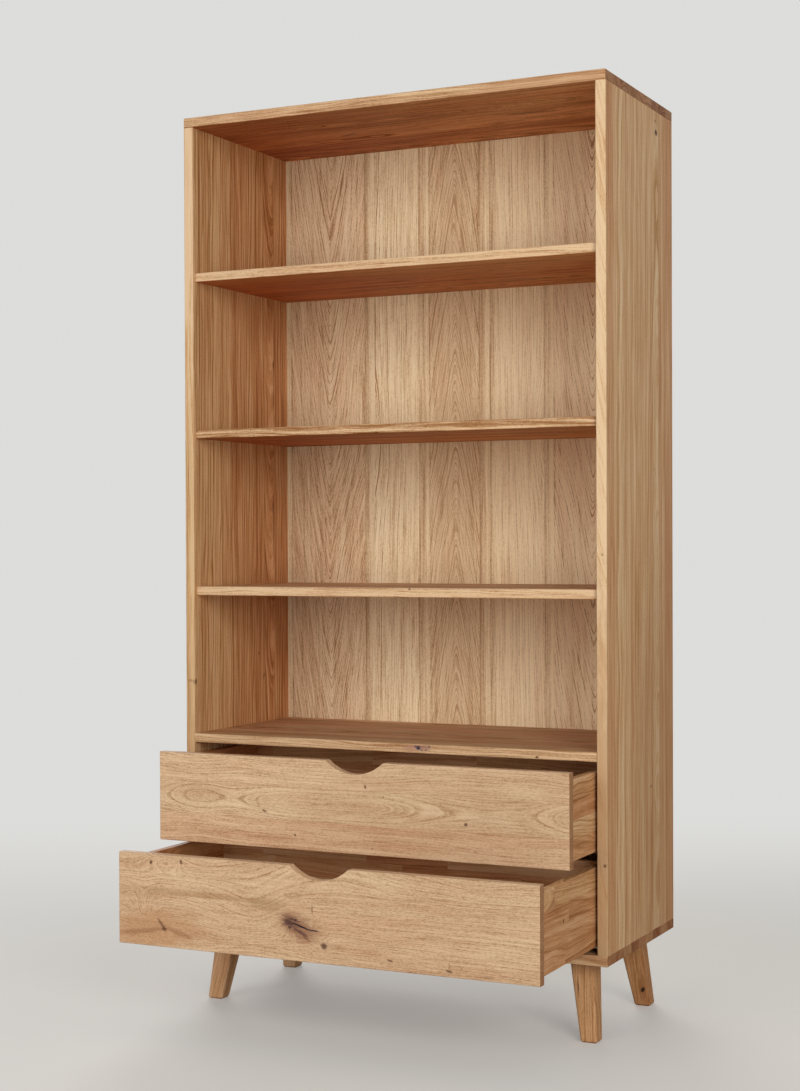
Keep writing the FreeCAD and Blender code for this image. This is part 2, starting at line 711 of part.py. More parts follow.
def drawer_front(label, drawer):
    """A solid board with a round finger scoop in the middle of its upper edge."""
    body = new_body(label)
    half = INNER_HALF - size.front_side_gap
    top = size.front_height
    depth, corner = size.scoop_depth, size.scoop_corner_round
    radius = (size.scoop_width * size.scoop_width / 4 + depth * depth) / (depth * 2)
    centre = top - depth + radius
    # The corner rounds touch the upper edge and the scoop's circle.
    drop = centre.value - (top.value - corner.value)
    reach = math.sqrt((radius.value + corner.value) ** 2 - drop ** 2)
    lean = math.degrees(math.atan2(drop, reach))
    sketch = new_sketch(body, label + "_outline", "y")
    sketch.addGeometry([
        Part.LineSegment(flat(-half, 0), flat(half, 0)),
        Part.LineSegment(flat(half, 0), flat(half, top)),
        Part.LineSegment(flat(half, top), flat(reach, top)),
        arc(reach, top - corner, corner.value, 90, 180 - lean),
        arc(0, centre, radius.value, 180 + lean, 360 - lean),
        arc(-reach, top - corner, corner.value, lean, 90),
        Part.LineSegment(flat(-reach, top), flat(-half, top)),
        Part.LineSegment(flat(-half, top), flat(-half, 0)),
    ])
    for here, here_end, there, there_end in ((0, 2, 1, 1), (1, 2, 2, 1), (6, 2, 7, 1), (7, 2, 0, 1)):
        sketch.addConstraint(Sketcher.Constraint("Coincident", here, here_end, there, there_end))
    for here, here_end, there, there_end in ((2, 2, 3, 1), (3, 2, 4, 2), (4, 1, 5, 1), (5, 2, 6, 1)):
        sketch.addConstraint(Sketcher.Constraint("Tangent", here, here_end, there, there_end))
    sketch.addConstraint(Sketcher.Constraint("Horizontal", 2))
    sketch.addConstraint(Sketcher.Constraint("Horizontal", 6))
    hold(sketch, 0, 1, -half, 0)
    hold(sketch, 1, 1, half, 0)
    hold(sketch, 2, 1, half, top)
    hold(sketch, 7, 1, -half, top)
    hold(sketch, 4, 3, 0, centre)
    bind(sketch, radius, "Radius", 4)
    bind(sketch, corner, "Radius", 3)
    bind(sketch, corner, "Radius", 5)
    pad(body, label + "_board", sketch, "y", 1, size.front_thickness)
    ease(body, label + "_eased", size.front_round, lambda box: near(box.YLength, 0))
    groove = new_sketch(body, label + "_groove", "y", size.front_thickness)
    groove_half = BOX_INNER_HALF + size.groove_depth + size.groove_clearance
    rectangle(groove, -groove_half, groove_half, BOTTOM_UNDERSIDE - size.groove_clearance,
              BOTTOM_TOP + size.groove_clearance)
    pocket(body, label + "_groove_cut", groove, "y", -1, size.groove_depth + size.groove_clearance)
    middle = BOX_OUTER_HALF - size.box_side_thickness / 2
    spots = [(sign * middle, level) for _, sign in SIDES for level in BOX_DOWELS]
    drill(body, label + "_dowels", "y", size.front_thickness, -1, spots, DOWEL_HOLE,
          FACE_HOLE_DEPTH)
    drill(body, label + "_clip_screws", "y", size.front_thickness, -1, clip_screw_spots(),
          PILOT_HOLE, size.screw_length - size.clip_plate + size.hole_end_clearance)
    return in_drawer(body, drawer)


def in_drawer(piece, drawer, share=1.0):
    """Places a piece with its drawer, or as far out as the share of the opening that it moves."""
    level, opening = drawer
    return finish(piece, 0, CASE_FRONT - opening * share, CASE_FLOOR + level)


def clip_screw_spots():
    last = RAIL_EDGE - size.clip_width + size.clip_screw_inset
    level = BOTTOM_UNDERSIDE - size.clip_clearance - size.clip_height / 2
    return [(sign * (last + size.clip_screw_pitch * i), level)
            for _, sign in SIDES for i in range(CLIP_SCREW_COUNT)]


def box_side(label, drawer, out):
    """A side of the drawer box. It runs from the front to the rear of the box."""
    body = new_body(label)
    section = new_sketch(body, label + "_section", "y", size.front_thickness)
    inner = out * BOX_INNER_HALF
    outer = out * BOX_OUTER_HALF
    rectangle(section, inner, outer, size.box_rise, BOX_TOP)
    pad(body, label + "_staves", section, "y", 1, size.box_length)
    ease(body, label + "_eased", size.box_round,
         lambda box: near(box.ZMin, BOX_TOP) and box.YLength > box.XLength)
    groove = new_sketch(body, label + "_groove", "y", size.front_thickness)
    depth = out * (size.groove_depth + size.groove_clearance)
    rectangle(groove, inner, inner + depth, BOTTOM_UNDERSIDE - size.groove_clearance,
              BOTTOM_TOP + size.groove_clearance)
    pocket(body, label + "_groove_cut", groove, "y", 1, size.box_length)
    middle = (inner + outer) / 2
    front_spots = [(middle, level) for level in BOX_DOWELS]
    drill(body, label + "_front_dowels", "y", size.front_thickness, 1, front_spots, DOWEL_HOLE,
          END_HOLE_DEPTH)
    rear_spots = [(BACK_DOWEL_Y, level) for level in BOX_DOWELS]
    drill(body, label + "_back_dowels", "x", inner, out, rear_spots, DOWEL_HOLE,
          FACE_HOLE_DEPTH)
    return in_drawer(body, drawer)


def box_back(label, drawer):
    """The back of the drawer box stands on the drawer bottom, between the box sides."""
    body = new_body(label)
    section = new_sketch(body, label + "_face", "y", BOX_REAR)
    rectangle(section, -BOX_INNER_HALF, BOX_INNER_HALF, BOTTOM_TOP, BOX_TOP)
    pad(body, label + "_board", section, "y", -1, size.box_back_thickness)
    ease(body, label + "_eased", size.box_round,
         lambda box: near(box.ZMin, BOX_TOP) and box.XLength > box.YLength)
    for side, sign in SIDES:
        spots = [(BACK_DOWEL_Y, level) for level in BOX_DOWELS]
        drill(body, f"{label}_{side}_dowels", "x", sign * BOX_INNER_HALF, -sign, spots,
              DOWEL_HOLE, END_HOLE_DEPTH)
    drill(body, label + "_screws", "z", BOTTOM_TOP, 1, bottom_screw_spots(), PILOT_HOLE,
          size.screw_length - size.box_bottom_thickness + size.screw_head_height
          + size.hole_end_clearance)
    hooks = [(sign * (RAIL_EDGE + size.hook_width / 2), HOOK_LEVEL) for _, sign in SIDES]
    drill(body, label + "_hooks", "y", BOX_REAR, -1, hooks,
          size.hook_pin_diameter + size.hole_clearance,
          size.hook_pin_length + size.hole_end_clearance)
    return in_drawer(body, drawer)


def bottom_screw_spots():
    across = BOX_INNER_HALF - size.bottom_screw_inset
    return [(x, BACK_DOWEL_Y) for x in spread(-across, across, ACROSS_SCREW_COUNT)]


def box_bottom(label, drawer):
    """The drawer bottom slides into three grooves and is screwed up into the back."""
    body = new_body(label)
    face = new_sketch(body, label + "_face", "z", BOTTOM_UNDERSIDE)
    half = BOX_INNER_HALF + size.groove_depth
    rectangle(face, -half, half, size.front_thickness - size.groove_depth, BOX_REAR)
    pad(body, label + "_sheet", face, "z", 1, size.box_bottom_thickness)
    drill(body, label + "_heads", "z", BOTTOM_UNDERSIDE, 1, bottom_screw_spots(), HEAD_HOLE,
          size.screw_head_height)
    drill(body, label + "_holes", "z", BOTTOM_UNDERSIDE, 1, bottom_screw_spots(), PILOT_HOLE,
          size.box_bottom_thickness)
    return in_drawer(body, drawer)


def box_dowel_spots():
    middle = BOX_OUTER_HALF - size.box_side_thickness / 2
    spots = []
    for _, sign in SIDES:
        outwards = RIGHT if sign > 0 else LEFT
        for level in BOX_DOWELS:
            spots.append((sign * middle, size.front_thickness, level, FORWARDS))
            spots.append((sign * BOX_INNER_HALF, BACK_DOWEL_Y, level, outwards))
    return spots


# Runners. Their sections are drawn from the side panel inwards.

def rail(label, out, profile, start, length):
    """A rail rolled from sheet steel: a section of (inwards, up) points run along Y."""
    body = new_body(label)
    section = new_sketch(body, label + "_section", "y", start)
    outline(section, [(out * (INNER_HALF - inwards), up) for inwards, up in profile])
    pad(body, label + "_run", section, "y", 1, length)
    return body


def cabinet_rail_profile():
    """An upright flange on the side panel, and a channel under the drawer box."""
    low, sheet_metal = RUNNER_UNDERSIDE, size.rail_sheet
    web, lip, flange = low + sheet_metal, low + size.cabinet_rail_lip, low + size.cabinet_rail_flange
    outer, inner = size.runner_inset, size.runner_inset + size.runner_width
    return [(0, low), (inner, low), (inner, lip), (inner - sheet_metal, lip),
            (inner - sheet_metal, web), (outer + sheet_metal, web), (outer + sheet_metal, lip),
            (outer, lip), (outer, web), (sheet_metal, web), (sheet_metal, flange), (0, flange)]


def drawer_rail_profile():
    """A channel that opens downwards, under the drawer bottom."""
    high, sheet_metal = BOTTOM_UNDERSIDE, size.rail_sheet
    web, lip = high - sheet_metal, high - size.drawer_rail_lip
    outer, inner = size.runner_inset, size.runner_inset + size.runner_width
    return [(outer, lip), (outer + sheet_metal, lip), (outer + sheet_metal, web),
            (inner - sheet_metal, web), (inner - sheet_metal, lip), (inner, lip), (inner, high),
            (outer, high)]


MIDDLE_AXIS = size.runner_inset + size.runner_width / 2
MIDDLE_LEVEL = BOTTOM_UNDERSIDE - size.runner_height / 2
ROLLER_OFFSET = size.middle_rail_sheet / 2 + size.roller_seat + ROLLER_DIAMETER / 2


def middle_rail_profile():
    """An H: rollers above its web carry the drawer rail, rollers below it run in the cabinet rail."""
    half_width, sheet_metal = size.middle_rail_width / 2, size.middle_rail_sheet
    half_height = size.runner_height / 2 - size.rail_sheet - size.middle_rail_clearance
    outer, inner = MIDDLE_AXIS - half_width, MIDDLE_AXIS + half_width
    low, high = MIDDLE_LEVEL - half_height, MIDDLE_LEVEL + half_height
    web_low, web_high = MIDDLE_LEVEL - sheet_metal / 2, MIDDLE_LEVEL + sheet_metal / 2
    return [(outer, low), (outer + sheet_metal, low), (outer + sheet_metal, web_low),
            (inner - sheet_metal, web_low), (inner - sheet_metal, low), (inner, low),
            (inner, high), (inner - sheet_metal, high), (inner - sheet_metal, web_high),
            (outer + sheet_metal, web_high), (outer + sheet_metal, high), (outer, high)]


def roller_spots():
    """Rollers of a middle rail: along Y, and above or below its web."""
    along = spread(RUNNER_START + size.roller_inset,
                   RUNNER_START + size.middle_rail_length - size.roller_inset, ROLLER_COUNT)
    return [(y, MIDDLE_LEVEL + sign * ROLLER_OFFSET) for y in along for sign in (-1, 1)]


def cabinet_rail(label, drawer, out):
    body = rail(label, out, cabinet_rail_profile(), RUNNER_START, size.cabinet_rail_length)
    spots = [(depth, RUNNER_UNDERSIDE + size.rail_screw_height) for depth in RAIL_SCREW_DEPTHS]
    drill(body, label + "_holes", "x", out * INNER_HALF, -out, spots, PILOT_HOLE, size.rail_sheet)
    return in_drawer(body, drawer, 0)


def middle_rail(label, drawer, out):
    body = rail(label, out, middle_rail_profile(), RUNNER_START, size.middle_rail_length)
    face = out * (INNER_HALF - MIDDLE_AXIS + size.middle_rail_width / 2)
    drill(body, label + "_axles", "x", face, -out, roller_spots(),
          size.roller_axle + size.hole_clearance, size.middle_rail_width)
    return in_drawer(body, drawer, 0.5)


def drawer_rail(label, drawer, out):
    """A rail with a hook at its rear: a tongue up behind the drawer, and a pin into its back."""
    body = rail(label, out, drawer_rail_profile(), RUNNER_START, HOOK_FACE - RUNNER_START)
    tongue = new_sketch(body, label + "_tongue", "y", HOOK_FACE)
    rectangle(tongue, out * RAIL_EDGE, out * (RAIL_EDGE + size.hook_width),
              BOTTOM_UNDERSIDE - size.rail_sheet, HOOK_LEVEL + size.hook_pin_diameter)
    pad(body, label + "_tongue_pad", tongue, "y", 1, size.rail_sheet)
    pin = new_sketch(body, label + "_pin", "y", HOOK_FACE)
    circles(pin, [(out * (RAIL_EDGE + size.hook_width / 2), HOOK_LEVEL)], size.hook_pin_diameter)
    pad(body, label + "_pin_pad", pin, "y", -1, size.hook_gap + size.hook_pin_length)
    return in_drawer(body, drawer)


def locking_clip(label, drawer, out):
    """A moulded clip: a plate screwed to the front, and a latch along the drawer rail."""
    body = new_body(label)
    high = BOTTOM_UNDERSIDE - size.clip_clearance
    plate = new_sketch(body, label + "_plate", "y", size.front_thickness)
    rectangle(plate, out * RAIL_EDGE, out * (RAIL_EDGE - size.clip_width), high - size.clip_height, high)
    pad(body, label + "_plate_pad", plate, "y", 1, size.clip_plate)
    latch = new_sketch(body, label + "_latch", "y", size.front_thickness)
    rectangle(latch, out * RAIL_EDGE, out * (RAIL_EDGE - size.clip_latch_width),
              high - size.clip_latch_height, high)
    pad(body, label + "_latch_pad", latch, "y", 1, size.clip_latch_length)
    spots = [(x, z) for x, z in clip_screw_spots() if x.value * out > 0]
    drill(body, label + "_holes", "y", size.front_thickness, 1, spots, PILOT_HOLE, size.clip_plate)
    return in_drawer(body, drawer)


DRAWERS = (("upper", (UPPER_DRAWER, size.upper_opening)), ("lower", (LOWER_DRAWER, size.lower_opening)))
rail_screw_spots = []
for name, drawer in DRAWERS:
    level, opening = drawer
    drawer_front(f"{name}_drawer_front", drawer)
    box_back(f"{name}_drawer_back", drawer)
    box_bottom(f"{name}_drawer_bottom", drawer)
    for side, out in SIDES:
        box_side(f"{name}_drawer_{side}_side", drawer, out)
        cabinet_rail(f"{name}_{side}_cabinet_rail", drawer, out)
        middle_rail(f"{name}_{side}_middle_rail", drawer, out)
        drawer_rail(f"{name}_{side}_drawer_rail", drawer, out)
        locking_clip(f"{name}_{side}_locking_clip", drawer, out)
        head_plane = out * (INNER_HALF - size.rail_sheet)
        inwards = LEFT if out > 0 else RIGHT
        height = level + RUNNER_UNDERSIDE + size.rail_screw_height
        rail_screw_spots += [(head_plane, depth, height, inwards) for depth in RAIL_SCREW_DEPTHS]
    closed_y = CASE_FRONT - opening
    drawer_z = CASE_FLOOR + level
    group(f"{name}_drawer_dowels", dowel, box_dowel_spots(), 0, closed_y, drawer_z)
    head_level = BOTTOM_UNDERSIDE + size.screw_head_height
    group(f"{name}_bottom_screws", screw,
          [(x, y, head_level, DOWN) for x, y in bottom_screw_spots()], 0, closed_y, drawer_z)
    clip_face = size.front_thickness + size.clip_plate
    group(f"{name}_clip_screws", screw,
          [(x, clip_face, z, BACKWARDS) for x, z in clip_screw_spots()], 0, closed_y, drawer_z)
    across = INNER_HALF - MIDDLE_AXIS
    group(f"{name}_rollers", roller,
          [(sign * across, y, z, UP) for _, sign in SIDES for y, z in roller_spots()],
          0, CASE_FRONT - opening * 0.5, drawer_z)
group("cabinet_rail_screws", screw, rail_screw_spots, 0, CASE_FRONT, CASE_FLOOR)

# Checks and export

doc.recompute()
for part in doc.Objects:
    if "Invalid" in part.State or "Error" in part.State:
        raise RuntimeError(f"{part.Name} failed: {part.State}")
    if part.isDerivedFrom("PartDesign::Pocket"):
        if part.Shape.Volume > part.BaseFeature.Shape.Volume - TOLERANCE:
            raise RuntimeError(f"{part.Name} cuts nothing")
for node in nodes:
    if node.Shape.isNull() or not node.Shape.isValid():
        raise RuntimeError(f"{node.Label} has no valid shape")

os.makedirs("parts", exist_ok=True)
for node in nodes:
    node.Shape.exportStep(os.path.join("parts", node.Label + ".step"))
print(len(nodes), "nodes")
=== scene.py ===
import math
import random

import bpy
from mathutils import Matrix, Vector

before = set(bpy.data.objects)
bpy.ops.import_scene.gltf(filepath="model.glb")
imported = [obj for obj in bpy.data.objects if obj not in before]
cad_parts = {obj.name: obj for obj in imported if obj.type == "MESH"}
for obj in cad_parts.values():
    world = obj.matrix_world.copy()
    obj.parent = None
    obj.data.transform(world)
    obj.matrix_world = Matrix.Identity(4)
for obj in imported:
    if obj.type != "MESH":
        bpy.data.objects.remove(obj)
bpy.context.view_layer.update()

# ---------------------------------------------------------------------------------------------
# The room: a pale floor that runs out into a pale, even background. A broad soft lamp stands at
# the front left like a tall window, a second one at the front right, and a third behind.
# ---------------------------------------------------------------------------------------------
room_pale = (0.72, 0.72, 0.705)
floor_width = 60  # metres
fade_starts, fade_ends = 0.9, 3.2  # metres from the middle of the piece

bpy.ops.object.select_all(action="DESELECT")
bpy.ops.mesh.primitive_plane_add(size=floor_width, location=(0, 0, 0))
floor = bpy.context.object
floor.name = "floor"


class Value:
    """A socket in a finish's node tree. Sums on it add Math nodes."""

    def __init__(self, tree, socket=None):
        self.tree, self.socket = tree, socket

    def node(self, kind, settings=None, sockets=None, out=0):
        """Adds a node. Colours are (red, green, blue). out says which outputs come back."""
        made = self.tree.nodes.new("ShaderNode" + kind)
        for name, setting in (settings or {}).items():
            if name == "stops":
                stops = made.color_ramp.elements
                while len(stops) > max(1, len(setting)):
                    stops.remove(stops[-1])
                while len(stops) < len(setting):
                    stops.new(1)
                for stop, (place, colour) in zip(stops, setting):
                    stop.position, stop.color = place, (*colour, 1)
            elif name == "blend":
                made.color_ramp.interpolation = setting
            else:
                setattr(made, name, setting)
        for key, value in (sockets or {}).items():
            if isinstance(value, Value):
                self.tree.links.new(value.socket, made.inputs[key])
            else:
                made.inputs[key].default_value = (*value, 1) if isinstance(value, tuple) else value
        if isinstance(out, tuple):
            return [Value(self.tree, made.outputs[i]) for i in out]
        return Value(self.tree, made.outputs[out]) if made.outputs else None

    def math(self, operation, *terms):
        return self.node("Math", {"operation": operation}, dict(enumerate(terms)))

    def __add__(self, other): return self.math("ADD", self, other)
    def __radd__(self, other): return self.math("ADD", other, self)
    def __sub__(self, other): return self.math("SUBTRACT", self, other)
    def __rsub__(self, other): return self.math("SUBTRACT", other, self)
    def __mul__(self, other): return self.math("MULTIPLY", self, other)
    def __rmul__(self, other): return self.math("MULTIPLY", other, self)
    def __truediv__(self, other): return self.math("DIVIDE", self, other)
    def __neg__(self): return self.math("MULTIPLY", self, -1)
    def __abs__(self): return self.math("ABSOLUTE", self)
    def __gt__(self, other): return self.math("GREATER_THAN", self, other)
    def root(self): return self.math("SQRT", self)
    def exponent(self): return self.math("EXPONENT", self)
    def whole(self): return self.math("FLOOR", self)
    def remainder(self): return self.math("FRACT", self)
    def at_least(self, other): return self.math("MAXIMUM", self, other)

    def between(self, low, high, low_gives=0.0, high_gives=1.0):
        """Smoothly from low_gives at low to high_gives at high."""
        return self.node("MapRange", {"interpolation_type": "SMOOTHSTEP"},
                         {0: self, 1: low, 2: high, 3: low_gives, 4: high_gives})

    def mixed(self, first, second, mode="MIX"):
        """This value mixes two colours."""
        return self.node("Mix", {"data_type": "RGBA", "blend_type": mode},
                         {0: self, 6: first, 7: second}, out=2)

    def ramp(self, stops, blend="LINEAR"):
        """This value picks a colour from stops of (place, colour)."""
        return self.node("ValToRGB", {"blend": blend, "stops": stops}, {0: self})

    def place(self):
        """The place on the piece, in metres of the piece's own frame."""
        return self.node("TexCoord", out=3)

    def facing(self):
        """The way the face looks."""
        return self.node("TexCoord", out=1)

    def parts(self, kind="XYZ"):
        """The three parts of a place, or of a colour for the kind "Color"."""
        return self.node("Separate" + kind, {}, {0: self}, out=(0, 1, 2))

    def point(self, x, y, z):
        return self.node("CombineXYZ", {}, {0: x, 1: y, 2: z})

    def noise(self, place, scale=1.0, detail=2.0, rough=0.5):
        """Cloudy values from 0 to 1 that change with the place."""
        return self.node("TexNoise", {}, {"Vector": place, "Scale": scale, "Detail": detail,
                                          "Roughness": rough})

    def line_noise(self, value, detail=1.0, rough=0.5):
        """The same along one line, as from ring to ring."""
        return self.node("TexNoise", {"noise_dimensions": "1D"},
                         {"W": value, "Scale": 1.0, "Detail": detail, "Roughness": rough})


def paint(red, green, blue):
    """A colour as it is read off a colour card, 0 to 255, in the values a shader works in."""
    return tuple(round(((c / 255 + 0.055) / 1.055) ** 2.4, 4) for c in (red, green, blue))


def new_finish(name):
    """An empty finish: the material and a Value to start its nodes from."""
    material = bpy.data.materials.new(name)
    material.use_nodes = True
    material.node_tree.nodes.clear()
    return material, Value(material.node_tree)


# The floor looks pale, but throws the brown of floor boards back at the piece. Away from the
# piece it fades into the background.
floor_finish, start = new_finish("pale_floor")
x, y, _ = start.place().parts()
far = (x * x + y * y).root().between(fade_starts, fade_ends)
seen = start.node("LightPath", out=0)
cloud = start.node("TexNoise", {"noise_dimensions": "2D"},
                   {"Vector": start.place(), "Scale": 1.3, "Detail": 3.0})
tone = seen.mixed((0.30, 0.25, 0.20), cloud.mixed((0.86, 0.85, 0.825), (0.90, 0.89, 0.87)))
matt = start.node("BsdfPrincipled", {},
                  {"Base Color": tone, "Roughness": 0.7, "Specular IOR Level": 0.2})
glow = start.node("Emission", {}, {"Color": room_pale, "Strength": 1.0})
faded = start.node("MixShader", {}, {0: (far * 0.75 + 0.25) * seen, 1: matt, 2: glow})
start.node("OutputMaterial", {}, {0: faded})
floor.data.materials.append(floor_finish)

# The lens, and what is polished or clear, see the pale background. The rest gets its soft light.
world = bpy.data.worlds.new("room")
bpy.context.scene.world = world
world.use_nodes = True
world.node_tree.nodes.clear()
start = Value(world.node_tree)
seen, glossy, through = start.node("LightPath", out=(0, 3, 6))
shown = (seen + glossy).at_least(through)
soft = start.node("Background", {}, {"Color": (1.0, 0.98, 0.95), "Strength": 0.28})
pale = start.node("Background", {}, {"Color": room_pale, "Strength": 1.0})
start.node("OutputWorld", {}, {0: start.node("MixShader", {}, {0: shown, 1: soft, 2: pale})})

for lamp_name, spot, aim, width, watts, colour in (
        ("window_lamp", (-1.3, -4.6, 1.85), (0.0, 0.0, 1.15), 3.0, 89, (1.0, 0.985, 0.97)),
        ("fill_lamp", (3.3, -3.4, 1.65), (0.0, 0.0, 1.2), 2.2, 127, (1.0, 0.955, 0.885)),
        ("rear_lamp", (-2.4, 4.2, 2.6), (0.0, 0.0, 1.0), 2.6, 95, (1.0, 0.98, 0.95))):
    bpy.ops.object.light_add(type="AREA", location=spot)
    lamp = bpy.context.object
    lamp.name = lamp_name
    lamp.data.shape = "RECTANGLE"
    lamp.data.size, lamp.data.size_y = width, width * 1.2
    lamp.data.energy, lamp.data.color = watts, colour
    lamp.rotation_euler = (Vector(aim) - Vector(spot)).to_track_quat("-Z", "Y").to_euler()

# The camera stands at the front right, a little above the middle of the case, and looks level.
# Its turns are in radians. Its picture's height, focal length and shift are in picture points.
turn, nod, lean = 0.458, -0.011, -0.004
picture_height, focal_length, shift_right, shift_up = 1091, 1899.37, 23.9, 17.2
ahead = Vector((-math.sin(turn) * math.cos(nod), math.cos(turn) * math.cos(nod), math.sin(nod)))
right = Vector((math.cos(turn), math.sin(turn), 0))
up = right.cross(ahead)
right, up = (right * math.cos(lean) + up * math.sin(lean),
             up * math.cos(lean) - right * math.sin(lean))
bpy.ops.object.camera_add()
camera = bpy.context.object
camera.name = "camera"
camera.matrix_world = (Matrix.Translation((1.6042, -3.3517, 0.9302))
                       @ Matrix((right, up, -ahead)).transposed().to_4x4())
camera.data.sensor_width, camera.data.lens = 36, 36 * focal_length / picture_height
camera.data.shift_x = shift_right / picture_height
camera.data.shift_y = shift_up / picture_height
camera.data.clip_start, camera.data.clip_end = 0.05, 100
bpy.context.scene.camera = camera
bpy.context.scene.view_settings.view_transform = "Standard"

# ---------------------------------------------------------------------------------------------
# Legs: four solid oak legs, sawn tapered and set splayed, with rounded corners, oiled. The grain
# runs down each leg. They are turned up onto hanger bolts in the bottom panel.
# ---------------------------------------------------------------------------------------------
mm = 1000  # in a metre
clear_half = 430  # half the width between the side panels
case_reach, case_rise = 480, 1800  # a little over half the case's width, and over its height
before_all = -2000  # where a board begins that runs the full length
oak_pale = paint(226, 194, 155)
oak_middle = paint(203, 165, 125)
oak_dark = paint(152, 105, 58)


def surface(start, colour, rough, height, strength, depth, others=None):
    """Closes a finish with its colour, its roughness and the fine relief of its skin."""
    bump = start.node("Bump", {}, {"Strength": strength, "Distance": depth, "Height": height})
    skin = start.node("BsdfPrincipled", {},
                      {"Base Color": colour, "Roughness": rough, "Normal": bump, **(others or {})})
    start.node("OutputMaterial", {}, {0: skin})


def oak(name, along, across, centre, rows, rings=(5.0, 0.34, 1.35, 0.5), fine=(1.2, 0.7, 60),
        flank=0.0, swells=(), eyes=(), marks=(), bright_edge=None, painted_light=(), lean=(0, 0),
        seed=0.0, pale=oak_pale, middle=oak_middle, dark=oak_dark):
    """Oiled oak cut from real boards, as a solid: year rings round each board's own heart.

    All lengths are millimetres.
    along, across   the axes of the grain and of the boards' width
    centre          the middle of the thickness, on the third axis
    rows            (where the row starts across, [board, ...]), a board being (where it starts
                    along, tone, redness, heart across, heart depth, climb), where climb is the
                    taper of the log, which draws the arches
    rings           their width, strength of their dark lines, strength of the bands they gather
                    in, share of a ring that its line takes
    fine            strength of the streaks, strength of the short pores, length of the streaks
    flank           crowds the rings far from the heart
    swells          push the rings aside: (along, across, length, width, height)
    eyes            bring the heart near the face: (along, length, rise)
    marks           knots, cracks, stains and patches of painted light and shade: (along, across,
                half length, half width, turn in degrees, strength, colour), and for one that
                stays near an edge or a face also (place through the board, half height)
    bright_edge     an edge made paler: (where it is across, how wide, how much paler)
    painted_light   painted light and shade: (1 or -1 for the face it lies on, what that face keeps
                of each colour at the left of the case, what it keeps at the right)
    lean            how far the grain leans across and through in a length of 1
    """
    material, start = new_finish(name)
    ring_width, line_strength, band_strength, line_share = rings
    streak_strength, pore_strength, streak_length = fine
    places = dict(zip("xyz", start.place().parts()))
    faces = dict(zip("xyz", start.facing().parts()))
    through = ({"x", "y", "z"} - {along, across}).pop()
    u = places[along] * mm
    v = places[across] * mm - u * lean[0]
    w = places[through] * mm - centre - u * lean[1]

    # The boards: two look-ups give each place its board's tone, redness and own number, and its
    # heart's place, depth and climb, all brought to the 0 to 1 that a colour holds. The glue line
    # is a share of the whole width.
    last_width, margin, heart_reach, deepest, glue_line = 60, 400, 1600, 200, 0.0042
    low, high = rows[0][0], rows[-1][0] + last_width
    first, last = (0, case_rise) if along == "z" else (-case_reach, case_reach)
    chance = random.Random(int(seed * 1000) + 7)

    def share_across(value): return (value - low) / (high - low)
    def share_along(value): return (value - first) / (last - first)

    def look_up(value, spots, boards):
        one = [(tone, red, chance.random()) for _, tone, red, _, _, _ in boards]
        two = [((heart - low + margin) / heart_reach, depth / deepest, climb + 0.5)
               for *_, heart, depth, climb in boards]
        return [value.ramp(list(zip(spots, colours)), "CONSTANT") for colours in (one, two)]

    def look_along(boards):
        spots = [max(0.0, share_along(board[0])) for board in boards]
        return look_up(share_along(u), spots, boards)

    if all(len(boards) == 1 for _, boards in rows):
        spots = [max(0.0, share_across(begin)) for begin, _ in rows]
        found = look_up(share_across(v), spots, [boards[0] for _, boards in rows])
    else:
        found = look_along(rows[0][1])
        for begin, boards in rows[1:]:
            found = [(v > begin).mixed(so_far, here)
                     for so_far, here in zip(found, look_along(boards))]
    tone, red, number = found[0].parts("Color")
    heart, depth, climb = found[1].parts("Color")
    heart, depth, climb = heart * heart_reach + (low - margin), depth * deepest, climb - 0.5
    shift = number * 437 + seed * 91

    seams = [(0, (0, 0, 0))]
    for begin, _ in rows[1:]:
        seams += [(share_across(begin), (1, 1, 1)), (share_across(begin) + glue_line, (0, 0, 0))]
    seam = share_across(v).ramp(seams, "CONSTANT")

    def grain(length, width, detail=2.0, rough=0.5, extra=0.0):
        """Noise of this length and width, drawn out along the grain, new in each board."""
        spot = start.point(u / length + shift + extra, v / width, w / width + extra)
        return start.noise(spot, 1.0, detail, rough)

    # The rings: distance from the heart, with the heart wandering and the rings uneven.
    wander = grain(260, 90, 1.0, 0.5, 3.1) - 0.5
    ripple = grain(34, 9, 2.0, 0.55, 8.4) - 0.5
    side = v - heart + wander * 16 + ripple * 1.5
    below = w + depth + (grain(170, 400, 1.0, 0.5, 5.7) - 0.5) * 14
    for spot, length, rise in eyes:
        off = (u - spot) / length
        below = below - rise * (-(off * off)).exponent()
    away = (side * side + below * below).root()
    away = away + side * side * flank + climb * (u - (first + last) / 2) + ripple
    for spot, level, length, width, height in swells:
        off_u, off_v = (u - spot) / length, (v - level) / width
        away = away + height * (-(off_u * off_u + off_v * off_v)).exponent()
    uneven = start.line_noise(away * 0.045 + shift)
    count = away / ring_width + uneven * 3.0
    strong = start.node("TexWhiteNoise", {"noise_dimensions": "1D"}, {"W": count.whole() + shift})
    early = count.remainder().between(0.0, line_share, 1.0, 0.0) * (strong * 0.9 + 0.1)
    wide, band = [start.line_noise(away / pitch + shift * 2, detail, 0.85)
                  for pitch, detail in ((28, 1.0), (9.0, 4.0))]

    # Fine streaks and fibres, short pores, cloudy patches and the short bright rays.
    spot = start.point(u / streak_length + shift, away / 1.7, v / 60 + shift)
    streak = start.noise(spot, 1.0, 3.0, 0.65)
    fibre = grain(streak_length * 2.5, 4.5, 2.0, 0.5, 4.9)
    dash = grain(4.6, 1.15, 1.0, 0.5, 6.2)
    pore = dash.between(0.52, 0.66) * (early * 0.5 + 0.5)
    patch = grain(240, 38, 2.0, 0.5, 2.2)
    spot = start.point(u / 2.2 + shift, v / 5.5, w / 9)
    ray = start.noise(spot, 1.0, 1.0).between(0.62, 0.74)

